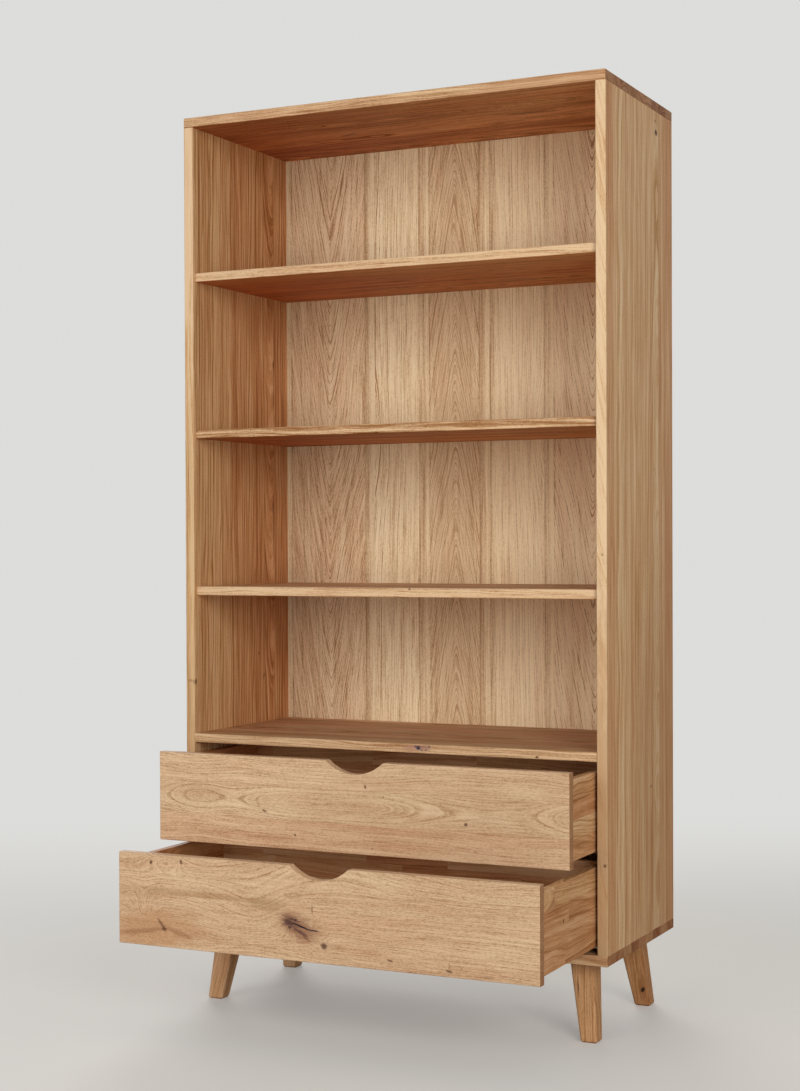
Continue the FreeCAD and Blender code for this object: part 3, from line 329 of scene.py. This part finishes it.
    # The colour: how dark all of these make the wood, then how red the board is.
    shade = (line_strength * early
             + band_strength * (band - 0.5 + 0.4 * (wide - 0.5))
             + streak_strength * (streak - 0.5 + 0.4 * (fibre - 0.5))
             + pore_strength * (0.62 * (dash - 0.5) + 0.22 * pore)
             + 0.30 * (patch - 0.5) - 0.06 * ray + 0.22 * seam + (tone - 0.5) + 0.31)
    if bright_edge:
        edge, edge_width, paler = bright_edge
        shade = shade - v.between(edge + 1.5, edge + edge_width, paler, 0.0)
    colour = shade.ramp([(0.0, pale), (0.42, middle), (1.0, dark)])
    red = (red + 0.25 * (wide - 0.5) + 0.6 * (patch - 0.5)).at_least(0.0)
    colour = red.mixed(colour, paint(232, 190, 176), "MULTIPLY")

    # End grain drinks more oil and shows darker.
    end = abs(faces[along]).between(0.55, 0.95)
    colour = (end * 0.85).mixed(colour, paint(188, 160, 134), "MULTIPLY")

    # Painted light and shade: a face is made lighter or darker from the left of the case to the
    # right.
    for face, at_left, at_right in painted_light:
        keeps = (places["x"] * mm).between(-clear_half, clear_half).mixed(at_left, at_right)
        looks = (faces[through] * face).between(0.6, 0.9)
        colour = looks.mixed(colour, keeps, "MULTIPLY")

    for spot, level, length, width, turn, strength, tint, *depths in marks:
        c, s = math.cos(math.radians(turn)), math.sin(math.radians(turn))
        off_u, off_v = u - spot, v - level
        off_along, off_across = (off_u * c + off_v * s) / length, (off_v * c - off_u * s) / width
        far = off_along * off_along + off_across * off_across
        if depths:
            off_w = (w + centre - depths[0]) / depths[1]
            far = far + off_w * off_w
        far = far.root() + ripple * 0.9 + (streak - 0.5) * 1.5
        colour = far.between(0.45, 1.15, strength, 0.0).mixed(colour, tint)

    rough = 0.58 + 0.10 * early + 0.10 * pore + 0.12 * (patch - 0.5)
    height = 1 - early * 0.35 - pore * 0.9 - end * pore * 0.3
    surface(start, colour, rough, height, 0.35, 0.00025, {"IOR": 1.47, "Specular IOR Level": 0.28})
    return material


def full_length(boards):
    """Rows for oak of one full-length board each, given as (where it starts across, tone,
    redness, heart across, heart depth, climb)."""
    return [(begin, [(before_all, *looks)]) for begin, *looks in boards]


def staves(low, high, width, seed, tone=0.5, spread=0.10, red=0.3, lengths=None, margin=60):
    """Rows for oak of edge-glued boards from low to high, each from its own part of a log. With
    lengths, boards of about that length are joined end to end. The first row starts a margin
    before low."""
    hearts, shallow, deep, climb = (4, 30, 55, 80, 110), 20, 90, 0.06
    chance = random.Random(seed)
    count = round((high - low) / width)
    rows = []
    for i in range(count):
        begin = low + (high - low) * i / count
        spots = [before_all]
        if lengths:
            spot = -case_reach + chance.uniform(0.3, 1.0) * lengths
            while spot < case_reach:
                spots.append(spot)
                spot += chance.uniform(0.6, 1.4) * lengths
        row = []
        for spot in spots:
            heart = begin + width / 2 + chance.choice((-1, 1)) * chance.choice(hearts)
            row.append((spot, tone + chance.uniform(-spread, spread),
                        min(1, max(0, red + chance.uniform(-0.3, 0.3))),
                        heart, chance.uniform(shallow, deep), chance.uniform(-climb, climb)))
        rows.append((begin if i else low - margin, row))
    return rows


def dress(material, *names):
    """Puts a finish on the solids of these names."""
    for name in names:
        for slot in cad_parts[name].material_slots:
            slot.material = material


# The middle of a foot stands this far to the side, and this far before or behind a line across
# the case. Going up, the leg leans in by these shares of its height.
foot_side, foot_line, foot_back = 402.5, 140, 156.5
lean_side, lean_back = 0.135, 0.163
leg_marks = {
    "rear_right_leg": [(40, 412, 30, 11, 10, 0.5, paint(134, 82, 44)),
                       (34, 411, 7.5, 4, 30, 1.0, paint(46, 24, 14))],
    "front_right_leg": [(100, 392, 20, 1.9, 3, 0.85, paint(92, 54, 32))]}
for name, out, back in (("front_left_leg", -1, -1), ("front_right_leg", 1, -1),
                        ("rear_left_leg", -1, 1), ("rear_right_leg", 1, 1)):
    rows = full_length([(out * foot_side - 30, 0.58 + 0.01 * back + 0.17 * out,
                         0.40 + 0.06 * back, out * foot_side + 34, 30, 0.10)])
    dress(oak("oak_" + name, "z", "x", foot_line + foot_back * back, rows,
              rings=(6.0, 0.42, 1.5, 0.4), marks=leg_marks.get(name, ()),
              lean=(-lean_side * out, -lean_back * back), seed=3.1 + out + back * 2,
              middle=paint(203, 163, 117)), name)

# ---------------------------------------------------------------------------------------------
# Leg fixings: a hanger bolt stands in the top of each leg and screws into a threaded insert in
# the bottom panel. Both are turned steel with a bright zinc plating.
# ---------------------------------------------------------------------------------------------


def zinc(name, along, rough, turned=False):
    """Bright zinc plating on steel, faintly blue and yellow: rolled lines along this axis, or on
    turned parts a fine even grain."""
    material, start = new_finish(name)
    place = start.place()
    x, y, z = place.parts()
    with_lines, over_lines = (90.0, 90.0) if turned else (6.0, 1400.0)
    scales = [with_lines if axis == along else over_lines for axis in "xyz"]
    lines = start.noise(start.point(x * scales[0], y * scales[1], z * scales[2]), 1.0, 3.0, 0.6)
    bloom = start.noise(place, 55.0, 4.0, 0.65)
    cells = start.node("TexVoronoi", {}, {"Vector": place, "Scale": 210.0})
    tint = bloom.ramp([(0.30, paint(186, 192, 202)), (0.55, paint(204, 206, 206)),
                       (0.78, paint(208, 203, 188))])
    dull = bloom.between(0.58, 0.80)
    tint = (dull * 0.35 + lines * 0.15).mixed(tint, paint(150, 152, 154))
    roughness = rough + 0.16 * (lines - 0.5) + 0.20 * dull + 0.08 * cells
    height = lines * 0.7 + bloom * 0.5
    surface(start, tint, roughness, height, 0.25, 0.0001, {"Metallic": 1.0})
    return material


dress(zinc("zinc_leg_bolts", "z", 0.28, turned=True), "leg_bolts")
dress(zinc("zinc_leg_inserts", "z", 0.36, turned=True), "leg_inserts")

# ---------------------------------------------------------------------------------------------
# Bottom panel: edge-glued oak boards, 20 mm, running across the case. The side panels stand on
# it, doweled, and the legs' inserts are let into its underside.
# ---------------------------------------------------------------------------------------------
rows = full_length([
    (-120, 0.50, 0.3, -20, 30, 0.03), (-14, 0.66, 0.4, 60, 55, 0.03),
    (30, 0.30, 0.1, -20, 40, 0.03), (74, 0.80, 0.5, 150, 35, 0.03),
    (118, 0.36, 0.2, 90, 60, 0.03), (162, 0.24, 0.1, 230, 40, 0.03),
    (206, 0.78, 0.5, 180, 50, 0.03), (250, 0.34, 0.2, 330, 45, 0.03),
    (296, 0.70, 0.4, 270, 40, 0.03)])
dress(oak("oak_bottom_panel", "x", "y", 160, rows, seed=1.7), "bottom_panel")

# ---------------------------------------------------------------------------------------------
# Side panels: full-length oak staves glued edge to edge, 20 mm thick, upright. They are doweled
# to the bottom and top panels and rebated at the rear for the back panel.
# ---------------------------------------------------------------------------------------------
dark_heart = paint(84, 48, 26)
knot_brown = paint(92, 50, 22)

rows = full_length([
    (-120, 0.36, 0.15, -150, 90, 0.004), (-38, 0.44, 0.25, 70, 70, 0.006),
    (4, 0.40, 0.20, -60, 62, -0.008), (50, 0.45, 0.30, 150, 80, 0.005),
    (90, 0.55, 0.50, 20, 60, 0.006), (133, 0.52, 0.45, 240, 50, 0.02),
    (183, 0.57, 0.52, 90, 95, -0.004), (228, 0.64, 0.60, 262, 80, -0.03),
    (272, 0.63, 0.60, 350, 60, 0.010), (310, 0.66, 0.70, 230, 80, 0.006)])
marks = [
    # the more golden outer face, and painted light: the upper length of the front edge painted
    # paler
    (970, 140, 2200, 900, 0, 0.42, paint(214, 176, 128), -450, 12),
    (1640, -60, 420, 8, 0, 0.6, paint(240, 210, 174), -440, 30),
    # dark heart wood along the last stave
    (1316, 271, 9, 2.6, 0, 0.9, dark_heart), (1300, 271, 34, 1.6, 2, 0.7, dark_heart),
    (1262, 273, 22, 1.5, -3, 0.75, dark_heart), (1236, 272, 24, 2.6, 2, 0.7, dark_heart),
    (1200, 273, 12, 1.2, 3, 0.7, dark_heart), (960, 270, 66, 1.6, 1, 0.85, dark_heart),
    (1010, 268, 22, 3.4, 3, 0.75, dark_heart), (905, 271, 16, 1.4, -2, 0.6, dark_heart),
    # painted shade: the lower length of the front edge painted darker; two knots, and a knot in
    # that edge
    (380, -60, 330, 8, 0, 0.38, paint(176, 136, 96), -440, 30),
    (692, 203, 5, 3.2, 0, 0.85, dark_heart), (641, 224, 7, 3.0, 20, 0.6, dark_heart),
    (647, -55, 8, 5, 0, 0.9, paint(62, 34, 22), -432, 6),
    (650, -60, 3, 6, 0, 0.4, paint(120, 76, 48), -440, 9)]
dress(oak("oak_left_side_panel", "z", "y", -440, rows, rings=(7.5, 1.0, 0.9, 0.4),
          fine=(2.9, 0.6, 150), bright_edge=(-60, 6, 0.22), marks=marks, seed=2.4,
          pale=paint(222, 190, 147), middle=paint(200, 158, 108)), "left_side_panel")

rows = full_length([
    (-120, 0.42, 0.0, 30, 40, 0.10), (-56, 0.50, 0.35, -110, 80, 0.004),
    (-6, 0.40, 0.05, 60, 90, 0.005), (36, 0.44, 0.15, -30, 75, -0.004),
    (78, 0.46, 0.18, 150, 64, 0.006), (122, 0.43, 0.05, 60, 90, -0.006),
    (166, 0.46, 0.15, 240, 50, 0.03), (208, 0.44, 0.05, 240, 80, 0.004),
    (250, 0.48, 0.25, 190, 90, 0.006), (292, 0.52, 0.40, 390, 80, -0.006)])
marks = [
    # painted shade: the lower rear of the outer face painted darker; the knots on that face
    (420, 250, 560, 190, 0, 0.30, paint(152, 106, 66), 450, 12),
    (1729, 236, 6, 9, 0, 0.97, paint(74, 40, 20)), (1751, 232, 3.4, 5, 0, 0.6, knot_brown),
    (452, 193, 3, 2, 0, 0.7, knot_brown), (452, 199, 3, 2, 0, 0.7, knot_brown),
    (1070, 222, 5, 2, 0, 0.55, knot_brown), (1062, 230, 4, 1.6, 0, 0.5, knot_brown),
    # painted shade: the lower length of the front edge painted darker; the knots in it
    (400, -60, 480, 8, 0, 0.62, paint(180, 140, 100), 440, 30),
    (336, -60, 4, 4, 0, 0.75, knot_brown, 445, 3),
    (925, -34, 14, 1.6, 0, 0.6, knot_brown, 450, 5),
    (905, -60, 3, 3, 0, 0.5, knot_brown, 442, 3)]
dress(oak("oak_right_side_panel", "z", "y", 440, rows, rings=(10.0, 0.32, 0.85, 0.35),
          fine=(1.4, 0.5, 150), bright_edge=(-60, 6, 0.25), marks=marks, seed=5.2,
          pale=paint(228, 199, 161), middle=paint(202, 160, 113)), "right_side_panel")

# ---------------------------------------------------------------------------------------------
# Case dowels: fluted beech, 8 mm, glued into every joint of the case and beside each leg bolt.
# They are hidden in the boards and show only when the case is taken apart.
# ---------------------------------------------------------------------------------------------


def beech(name):
    """Beech: even and pinkish, with short brown flecks along the grain."""
    material, start = new_finish(name)
    place = start.place()
    x, y, z = place.parts()
    fibre = start.noise(start.point(x * 900, y * 900, z * 120), 1.0, 3.0)
    cells = start.node("TexVoronoi", {}, {"Vector": start.point(x * 1500, y * 1500, z * 420),
                                          "Scale": 1.0})
    fleck = cells.between(0.12, 0.34, 1.0, 0.0)
    body = start.noise(place, 60.0, 2.0)
    colour = fibre.mixed(paint(232, 200, 166), paint(206, 164, 124))
    colour = (fleck * 0.55).mixed(colour, paint(158, 106, 70))
    colour = (body * 0.3).mixed(colour, paint(214, 170, 140))
    surface(start, colour, 0.55 + 0.15 * fibre, fibre - fleck * 0.4, 0.3, 0.0001)
    return material


dress(beech("beech_case_dowels"), "case_dowels")

# ---------------------------------------------------------------------------------------------
# Drawer deck and shelves: edge-glued oak boards, 18 mm, running across. The deck comes flush with
# the case front, the shelves stand back 10 mm. All four are doweled to the sides.
# ---------------------------------------------------------------------------------------------
purple = paint(92, 76, 96)
rows = (full_length([(-62, 0.64, 0.0, -110, 90, 0.012)])
        + staves(-20, 340, 45, 21, tone=0.64, spread=0.16, red=0.35, margin=0))
marks = [
    # the purple spot in the front edge, from its soft rim to its dark middle
    (58, -60, 26, 10, 0, 0.5, paint(170, 118, 104), 534, 8),
    (84, -60, 16, 10, 0, 0.5, paint(150, 104, 100), 536, 8),
    (70, -60, 6, 8, 0, 0.97, paint(50, 42, 66), 535, 5), (77, -60, 3, 6, 0, 0.9, purple, 531, 3),
    (64, -60, 3.5, 6, 0, 0.85, purple, 538, 3), (93, -60, 2.5, 6, 0, 0.85, purple, 538, 3.5),
    (86, -60, 2.5, 5, 0, 0.8, paint(96, 60, 72), 532, 2.5),
    # a small knot further right
    (313, -60, 3.5, 3.5, 0, 0.9, knot_brown, 529, 2.5)]
# Its underside is painted darker and redder: painted shade under the deck.
dress(oak("oak_drawer_deck", "x", "y", 534, rows, fine=(2.1, 0.9, 90), marks=marks,
          painted_light=[(-1, (0.85, 0.66, 0.5), (0.85, 0.66, 0.5))], seed=7.3), "drawer_deck")

shelf_marks = {"middle_shelf": [(-22, -50, 5, 4, 0, 0.8, knot_brown, 1142, 2.5)],
               "lower_shelf": [(48, -50, 3, 3, 0, 0.8, knot_brown, 839, 2.5)]}
# Each shelf's underside is painted darker and redder at the left and lighter at the right: painted
# shade and painted light.
for name, level, seed, edge_tone in (("upper_shelf", 1468, 31, 0.24),
                                     ("middle_shelf", 1150, 37, 0.77),
                                     ("lower_shelf", 832, 43, 0.17)):
    rows = (full_length([(-52, edge_tone, 0.05, -100, 80, 0.014)])
            + staves(-10, 340, 45, seed, tone=0.50, spread=0.24, red=0.35, margin=0))
    dress(oak("oak_" + name, "x", "y", level, rows, rings=(6.0, 0.5, 1.8, 0.4),
              fine=(2.9, 1.1, 90), marks=shelf_marks.get(name, ()),
              painted_light=[(-1, (0.78, 0.38, 0.19), (1.14, 0.82, 0.51))], seed=seed / 10), name)

# ---------------------------------------------------------------------------------------------
# Top panel: edge-glued oak boards, 20 mm, running across. It lies over the side panels, doweled,
# so its end grain shows at both sides.
# ---------------------------------------------------------------------------------------------
rows = (full_length([(-62, 0.54, 0.07, -120, 80, 0.010)])
        + staves(-18, 340, 46, 53, tone=0.50, spread=0.24, red=0.35, margin=0))
marks = [(330, -60, 170, 10, 0, 0.5, paint(188, 142, 104), 1780, 30),
         (-180, 150, 26, 5, -18, 0.7, dark_heart), (230, 130, 60, 7, 4, 0.7, dark_heart)]
# Its underside is painted darker and redder at the left and lighter at the right: painted shade
# and painted light.
dress(oak("oak_top_panel", "x", "y", 1780, rows, rings=(6.0, 0.5, 1.6, 0.4),
          fine=(2.7, 1.0, 90), marks=marks,
          painted_light=[(-1, (0.79, 0.42, 0.25), (1.28, 0.98, 0.70))], seed=5.3), "top_panel")

# ---------------------------------------------------------------------------------------------
# Back panel: one sheet, 6 mm, faced with oak veneer in upright leaves, arched ones beside narrow
# straight-grained ones, screwed into the rebates of the case from behind.
# ---------------------------------------------------------------------------------------------
rows = full_length([
    (-440, 0.34, 0.0, -900, 20, 0.0), (-422, 0.47, 0.26, -322, 6, -0.24),
    (-238, 0.62, 0.10, -900, 20, 0.0), (-228, 0.34, 0.0, -900, 20, 0.0),
    (-216, 0.40, 0.0, -246, 24, -0.03), (-110, 0.62, 0.10, -900, 20, 0.0),
    (-98, 0.32, 0.0, -900, 20, 0.0), (-86, 0.56, 0.10, -24, 6, 0.24),
    (30, 0.64, 0.15, 900, 20, 0.0), (40, 0.32, 0.0, 900, 20, 0.0),
    (52, 0.56, 0.05, 900, 20, 0.0), (64, 0.22, 0.0, 230, 24, -0.03),
    (176, 0.46, 0.05, 900, 20, 0.0), (185, 0.16, 0.0, 900, 20, 0.0),
    (196, 0.24, 0.16, 284, 6, -0.24), (392, 0.10, 0.10, 500, 30, 0.03)])
# Its front face is painted a little darker at the left and lighter at the right: painted light
# where the right side panel shades it.
dress(oak("veneer_back_panel", "z", "x", 336, rows, rings=(6.0, 0.98, 0.52, 0.32),
          fine=(3.1, 1.15, 80), flank=0.004,
          swells=[(1150, -216, 120, 60, -30), (1150, 178, 120, 60, -30)],
          marks=[(970, -26, 1400, 66, 0, 0.42, paint(204, 172, 136))],
          painted_light=[(-1, (0.96, 0.96, 0.96), (1.18, 1.13, 1.06))], seed=8.8,
          pale=paint(235, 218, 186), middle=paint(221, 197, 160), dark=paint(158, 121, 83)),
      "back_panel")
dress(zinc("zinc_back_screws", "y", 0.30, turned=True), "back_screws")

# ---------------------------------------------------------------------------------------------
# Runners: for each drawer and side a cabinet rail screwed to the side panel, and a middle rail
# on nylon rollers that lets the drawer come all the way out. Roll-formed steel, zinc plated.
# ---------------------------------------------------------------------------------------------


def each_side(piece):
    """The names of this piece at the left and right of both drawers."""
    return [f"{drawer}_{side}_{piece}" for drawer in ("upper", "lower")
            for side in ("left", "right")]


def nylon(name, body, shade):
    """Moulded nylon: a little cloudy under a fine spark-eroded skin, rubbed in places."""
    material, start = new_finish(name)
    place = start.place()
    cloud = start.noise(place, 90.0, 3.0)
    skin = start.noise(place, 2600.0, 2.0)
    rub = start.noise(place, 260.0, 4.0, 0.7).between(0.52, 0.72)
    colour = (rub * 0.25).mixed(cloud.mixed(body, shade), paint(120, 118, 112))
    surface(start, colour, 0.42 + 0.14 * skin + 0.1 * rub, skin + rub * 0.4, 0.3, 0.0001,
            {"IOR": 1.53})
    return material


dress(zinc("zinc_cabinet_rails", "y", 0.33), *each_side("cabinet_rail"))
dress(zinc("zinc_middle_rails", "y", 0.30), *each_side("middle_rail"))
dress(zinc("zinc_cabinet_rail_screws", "x", 0.30, turned=True), "cabinet_rail_screws")
dress(nylon("nylon_rollers", paint(232, 230, 222), paint(212, 209, 198)),
      "upper_rollers", "lower_rollers")

# ---------------------------------------------------------------------------------------------
# Upper drawer front: three wide oak boards, 20 mm, the middle one cut close to the heart so its
# figure closes into long eyes. A finger scoop is cut in the top edge.
# ---------------------------------------------------------------------------------------------
front_pale = paint(229, 202, 167)
front_middle = paint(206, 176, 141)
front_dark = paint(158, 114, 68)

rows = full_length([(340, 0.45, 0.40, 250, 60, 0.012), (402, 0.47, 0.15, 437, 47, 0.0),
                    (464, 0.42, 0.20, 590, 70, 0.014)])
marks = [
    # small knots, on all three boards
    (24, 474, 2.6, 4.5, 10, 0.9, knot_brown), (-192, 417, 7, 3.2, -20, 0.75, knot_brown),
    (-204, 428, 4, 6, 30, 0.4, paint(150, 104, 66)), (-125, 375, 2.8, 2.8, 0, 0.85, knot_brown),
    (61, 457, 2.4, 2, 0, 0.7, knot_brown), (38, 360, 2.2, 1.9, 0, 0.7, knot_brown),
    (228, 416, 4, 3.6, 0, 0.95, paint(62, 36, 24)), (246, 368, 3, 3, 0, 0.55, paint(140, 84, 60)),
    # browner wood at the left and over the right half
    (-345, 438, 84, 24, 0, 0.15, paint(150, 104, 62)),
    (150, 420, 330, 110, 0, 0.22, paint(178, 136, 102))]
# Its front face is painted a little lighter at the left and darker at the right: painted light and
# shade.
dress(oak("oak_upper_drawer_front", "x", "z", -186, rows, rings=(4.2, 0.36, 0.66, 0.5),
          fine=(1.4, 1.25, 62), eyes=[(-60, 190, 40), (520, 130, 42), (-345, 62, 16)],
          marks=marks, painted_light=[(-1, (1.06, 1.07, 1.06), (0.92, 0.94, 0.94))], seed=4.6,
          pale=front_pale, middle=front_middle, dark=front_dark), "upper_drawer_front")

# ---------------------------------------------------------------------------------------------
# Lower drawer front: finger-jointed oak boards, 20 mm, with the wildest figure of the piece: a
# large purple-brown knot with a crack, a branching heart at the left and feathered grain at right.
# ---------------------------------------------------------------------------------------------
wild = (before_all, 0.46, 0.2, 420, 45, 0.01)
rows = [(165, [(before_all, 0.46, 0.25, 60, 60, 0.02), (258, 0.52, 0.25, 330, 70, -0.02)]),
        (192, [wild, (-12, 0.42, 0.3, 60, 50, 0.006)]),
        (271, [wild])]
swells = [(-372, 228, 24, 42, -50), (-322, 334, 44, 18, 30), (-329, 205, 60, 16, 24),
          (-140, 248, 90, 50, -34), (-43, 237, 42, 22, 36), (12, 204, 18, 12, 16),
          (10, 360, 170, 48, 38), (300, 352, 40, 20, -20)]
marks = [
    # browner wood at the left and along the heart
    (-350, 205, 130, 40, 2, 0.46, paint(178, 122, 74)),
    (-260, 276, 190, 7, -1, 0.34, paint(158, 124, 76)),
    (-108, 270, 46, 17, 0, 0.34, paint(146, 114, 66)),
    # the large knot, from its soft rim to its dark middle
    (-38, 232, 64, 30, -14, 0.35, paint(160, 112, 76)),
    (-42, 235, 44, 24, -24, 0.64, paint(134, 86, 60)),
    (-54, 240, 24, 14, -20, 0.56, paint(98, 62, 54)),
    (-60, 241, 12, 6, -20, 0.7, paint(66, 42, 44)),
    (-48, 246, 16, 2.0, -8, 0.8, paint(64, 40, 44)),
    (-40, 226, 18, 2.2, -30, 0.7, paint(74, 46, 46)),
    # its crack, and the flecks round it
    (-34, 235, 30, 1.8, -17, 1.0, paint(30, 20, 24)),
    (-8, 230, 14, 1.6, -6, 0.95, paint(44, 28, 34)),
    (-46, 246, 5, 3, 30, 0.9, paint(62, 40, 46)), (-58, 232, 4, 3, 0, 0.85, paint(62, 40, 46)),
    (-30, 222, 12, 4, -35, 0.7, paint(96, 62, 56)), (-20, 212, 9, 3, -30, 0.5, paint(110, 70, 56)),
    # the small knot at its lower right, with its tail
    (12, 204, 8, 6.5, 0, 0.9, paint(84, 52, 38)), (36, 204, 30, 6, -5, 0.35, paint(150, 104, 72)),
    # knots and the branching heart at the left
    (-355, 329, 4, 4.5, 0, 0.9, knot_brown), (-289, 334, 3.4, 5.5, 20, 0.8, knot_brown),
    (-331, 212, 17, 3.4, -52, 0.66, paint(104, 62, 36)),
    (-372, 199, 60, 5.5, 9, 0.42, paint(134, 84, 48)),
    (-296, 202, 38, 6, -16, 0.42, paint(134, 84, 48)),
    (-327, 207, 7, 5, 0, 0.7, paint(92, 56, 36)),
    # the finger joint, and knots in the bottom board
    (-12, 268, 1.2, 11, 0, 0.9, paint(110, 66, 52)),
    (-40, 268, 27, 12, 0, 0.25, paint(206, 160, 128)),
    (144, 190, 7, 2, -12, 0.75, knot_brown), (258, 182, 9, 2.6, -10, 0.8, paint(92, 62, 34)),
    (258, 190, 0.9, 10, 0, 0.6, knot_brown), (330, 178, 16, 3, 0, 0.35, paint(120, 86, 52))]
# Its front face is painted a little lighter at the left and darker at the right: painted light and
# shade.
dress(oak("oak_lower_drawer_front", "x", "z", -330, rows, rings=(4.0, 0.35, 0.30, 0.5),
          fine=(1.3, 1.25, 60), swells=swells, marks=marks,
          painted_light=[(-1, (1.04, 1.04, 1.04), (0.95, 0.97, 0.97))], seed=6.9,
          pale=front_pale, middle=front_middle, dark=front_dark), "lower_drawer_front")

# ---------------------------------------------------------------------------------------------
# Drawer boxes: finger-jointed oak boards, 16 mm, for the sides and the back, doweled together
# and to the front, with grooves for the bottom.
# ---------------------------------------------------------------------------------------------
box_height, board_width, side_centre = 146, 36, 416
box_middle = paint(203, 162, 114)
box_marks = {("lower", "right"): [(-218, 262, 4, 5, 0, 0.9, knot_brown),
                                  (-270, 300, 20, 12, 0, 0.35, paint(140, 90, 62))]}
for drawer, base, back_centre, seed in (("upper", 359.5, 166, 71), ("lower", 184.0, 22, 83)):
    # The left box sides are toned darker and redder as painted shade, for their inner faces in
    # shadow.
    for side, sign, tone, red in (("left", -1, 0.76, 0.95), ("right", 1, 0.58, 0.4)):
        rows = staves(base, base + box_height, board_width, seed + sign, tone=tone, spread=0.12,
                      red=red, lengths=330)
        dress(oak(f"oak_{drawer}_{side}_box_side", "y", "z", sign * side_centre, rows,
                  marks=box_marks.get((drawer, side), ()), seed=seed / 9 + sign,
                  middle=box_middle), f"{drawer}_drawer_{side}_side")
    rows = staves(base, base + box_height, board_width, seed + 5, tone=0.47, spread=0.16,
                  red=0.55, lengths=210)
    dress(oak(f"oak_{drawer}_box_back", "x", "z", back_centre, rows, seed=seed / 9 + 3,
              middle=box_middle), f"{drawer}_drawer_back")
dress(beech("beech_drawer_dowels"), "upper_drawer_dowels", "lower_drawer_dowels")

# ---------------------------------------------------------------------------------------------
# Drawer bottoms: birch plywood, 8 mm, pale rotary-cut faces over crossed layers that show as
# stripes at the edges. They slide in the grooves and are screwed under the box back.
# ---------------------------------------------------------------------------------------------


def birch_plywood(name, underside):
    """Birch plywood lying flat, its underside at this height in millimetres."""
    layer_height = 1.6
    material, start = new_finish(name)
    x, y, z = start.place().parts()
    wave = start.noise(start.point(x * 2.2, y * 9, 0.0), 1.0, 2.0)
    line = (y * 95 + wave * 5).remainder().between(0.1, 0.9)
    fibre = start.noise(start.point(x * 14, y * 700, z * 700), 1.0, 3.0)
    face = (line * 0.45 + fibre * 0.4).mixed(paint(232, 212, 178), paint(204, 172, 130))
    layer = ((z * mm - underside) / layer_height).whole()
    crossed = (layer * 0.5).remainder() * 2
    plies = crossed.mixed(paint(222, 192, 150), paint(164, 122, 82))
    flat = abs(start.facing().parts()[2]).between(0.4, 0.8)
    surface(start, flat.mixed(plies, face), 0.5 + 0.18 * fibre, fibre * 0.7 - line * 0.2,
            0.3, 0.0002)
    return material


dress(birch_plywood("birch_upper_drawer_bottom", 372.5), "upper_drawer_bottom")
dress(birch_plywood("birch_lower_drawer_bottom", 197.0), "lower_drawer_bottom")

# ---------------------------------------------------------------------------------------------
# Drawer rails and clips: the rail each box side sits on, with a hook at the rear, and the moulded
# clip screwed behind the front that locks box and rail together.
# ---------------------------------------------------------------------------------------------
dress(zinc("zinc_drawer_rails", "y", 0.32), *each_side("drawer_rail"))
dress(nylon("nylon_locking_clips", paint(150, 152, 154), paint(128, 130, 134)),
      *each_side("locking_clip"))
dress(zinc("zinc_clip_and_bottom_screws", "z", 0.30, turned=True), "upper_clip_screws",
      "lower_clip_screws", "upper_bottom_screws", "lower_bottom_screws")
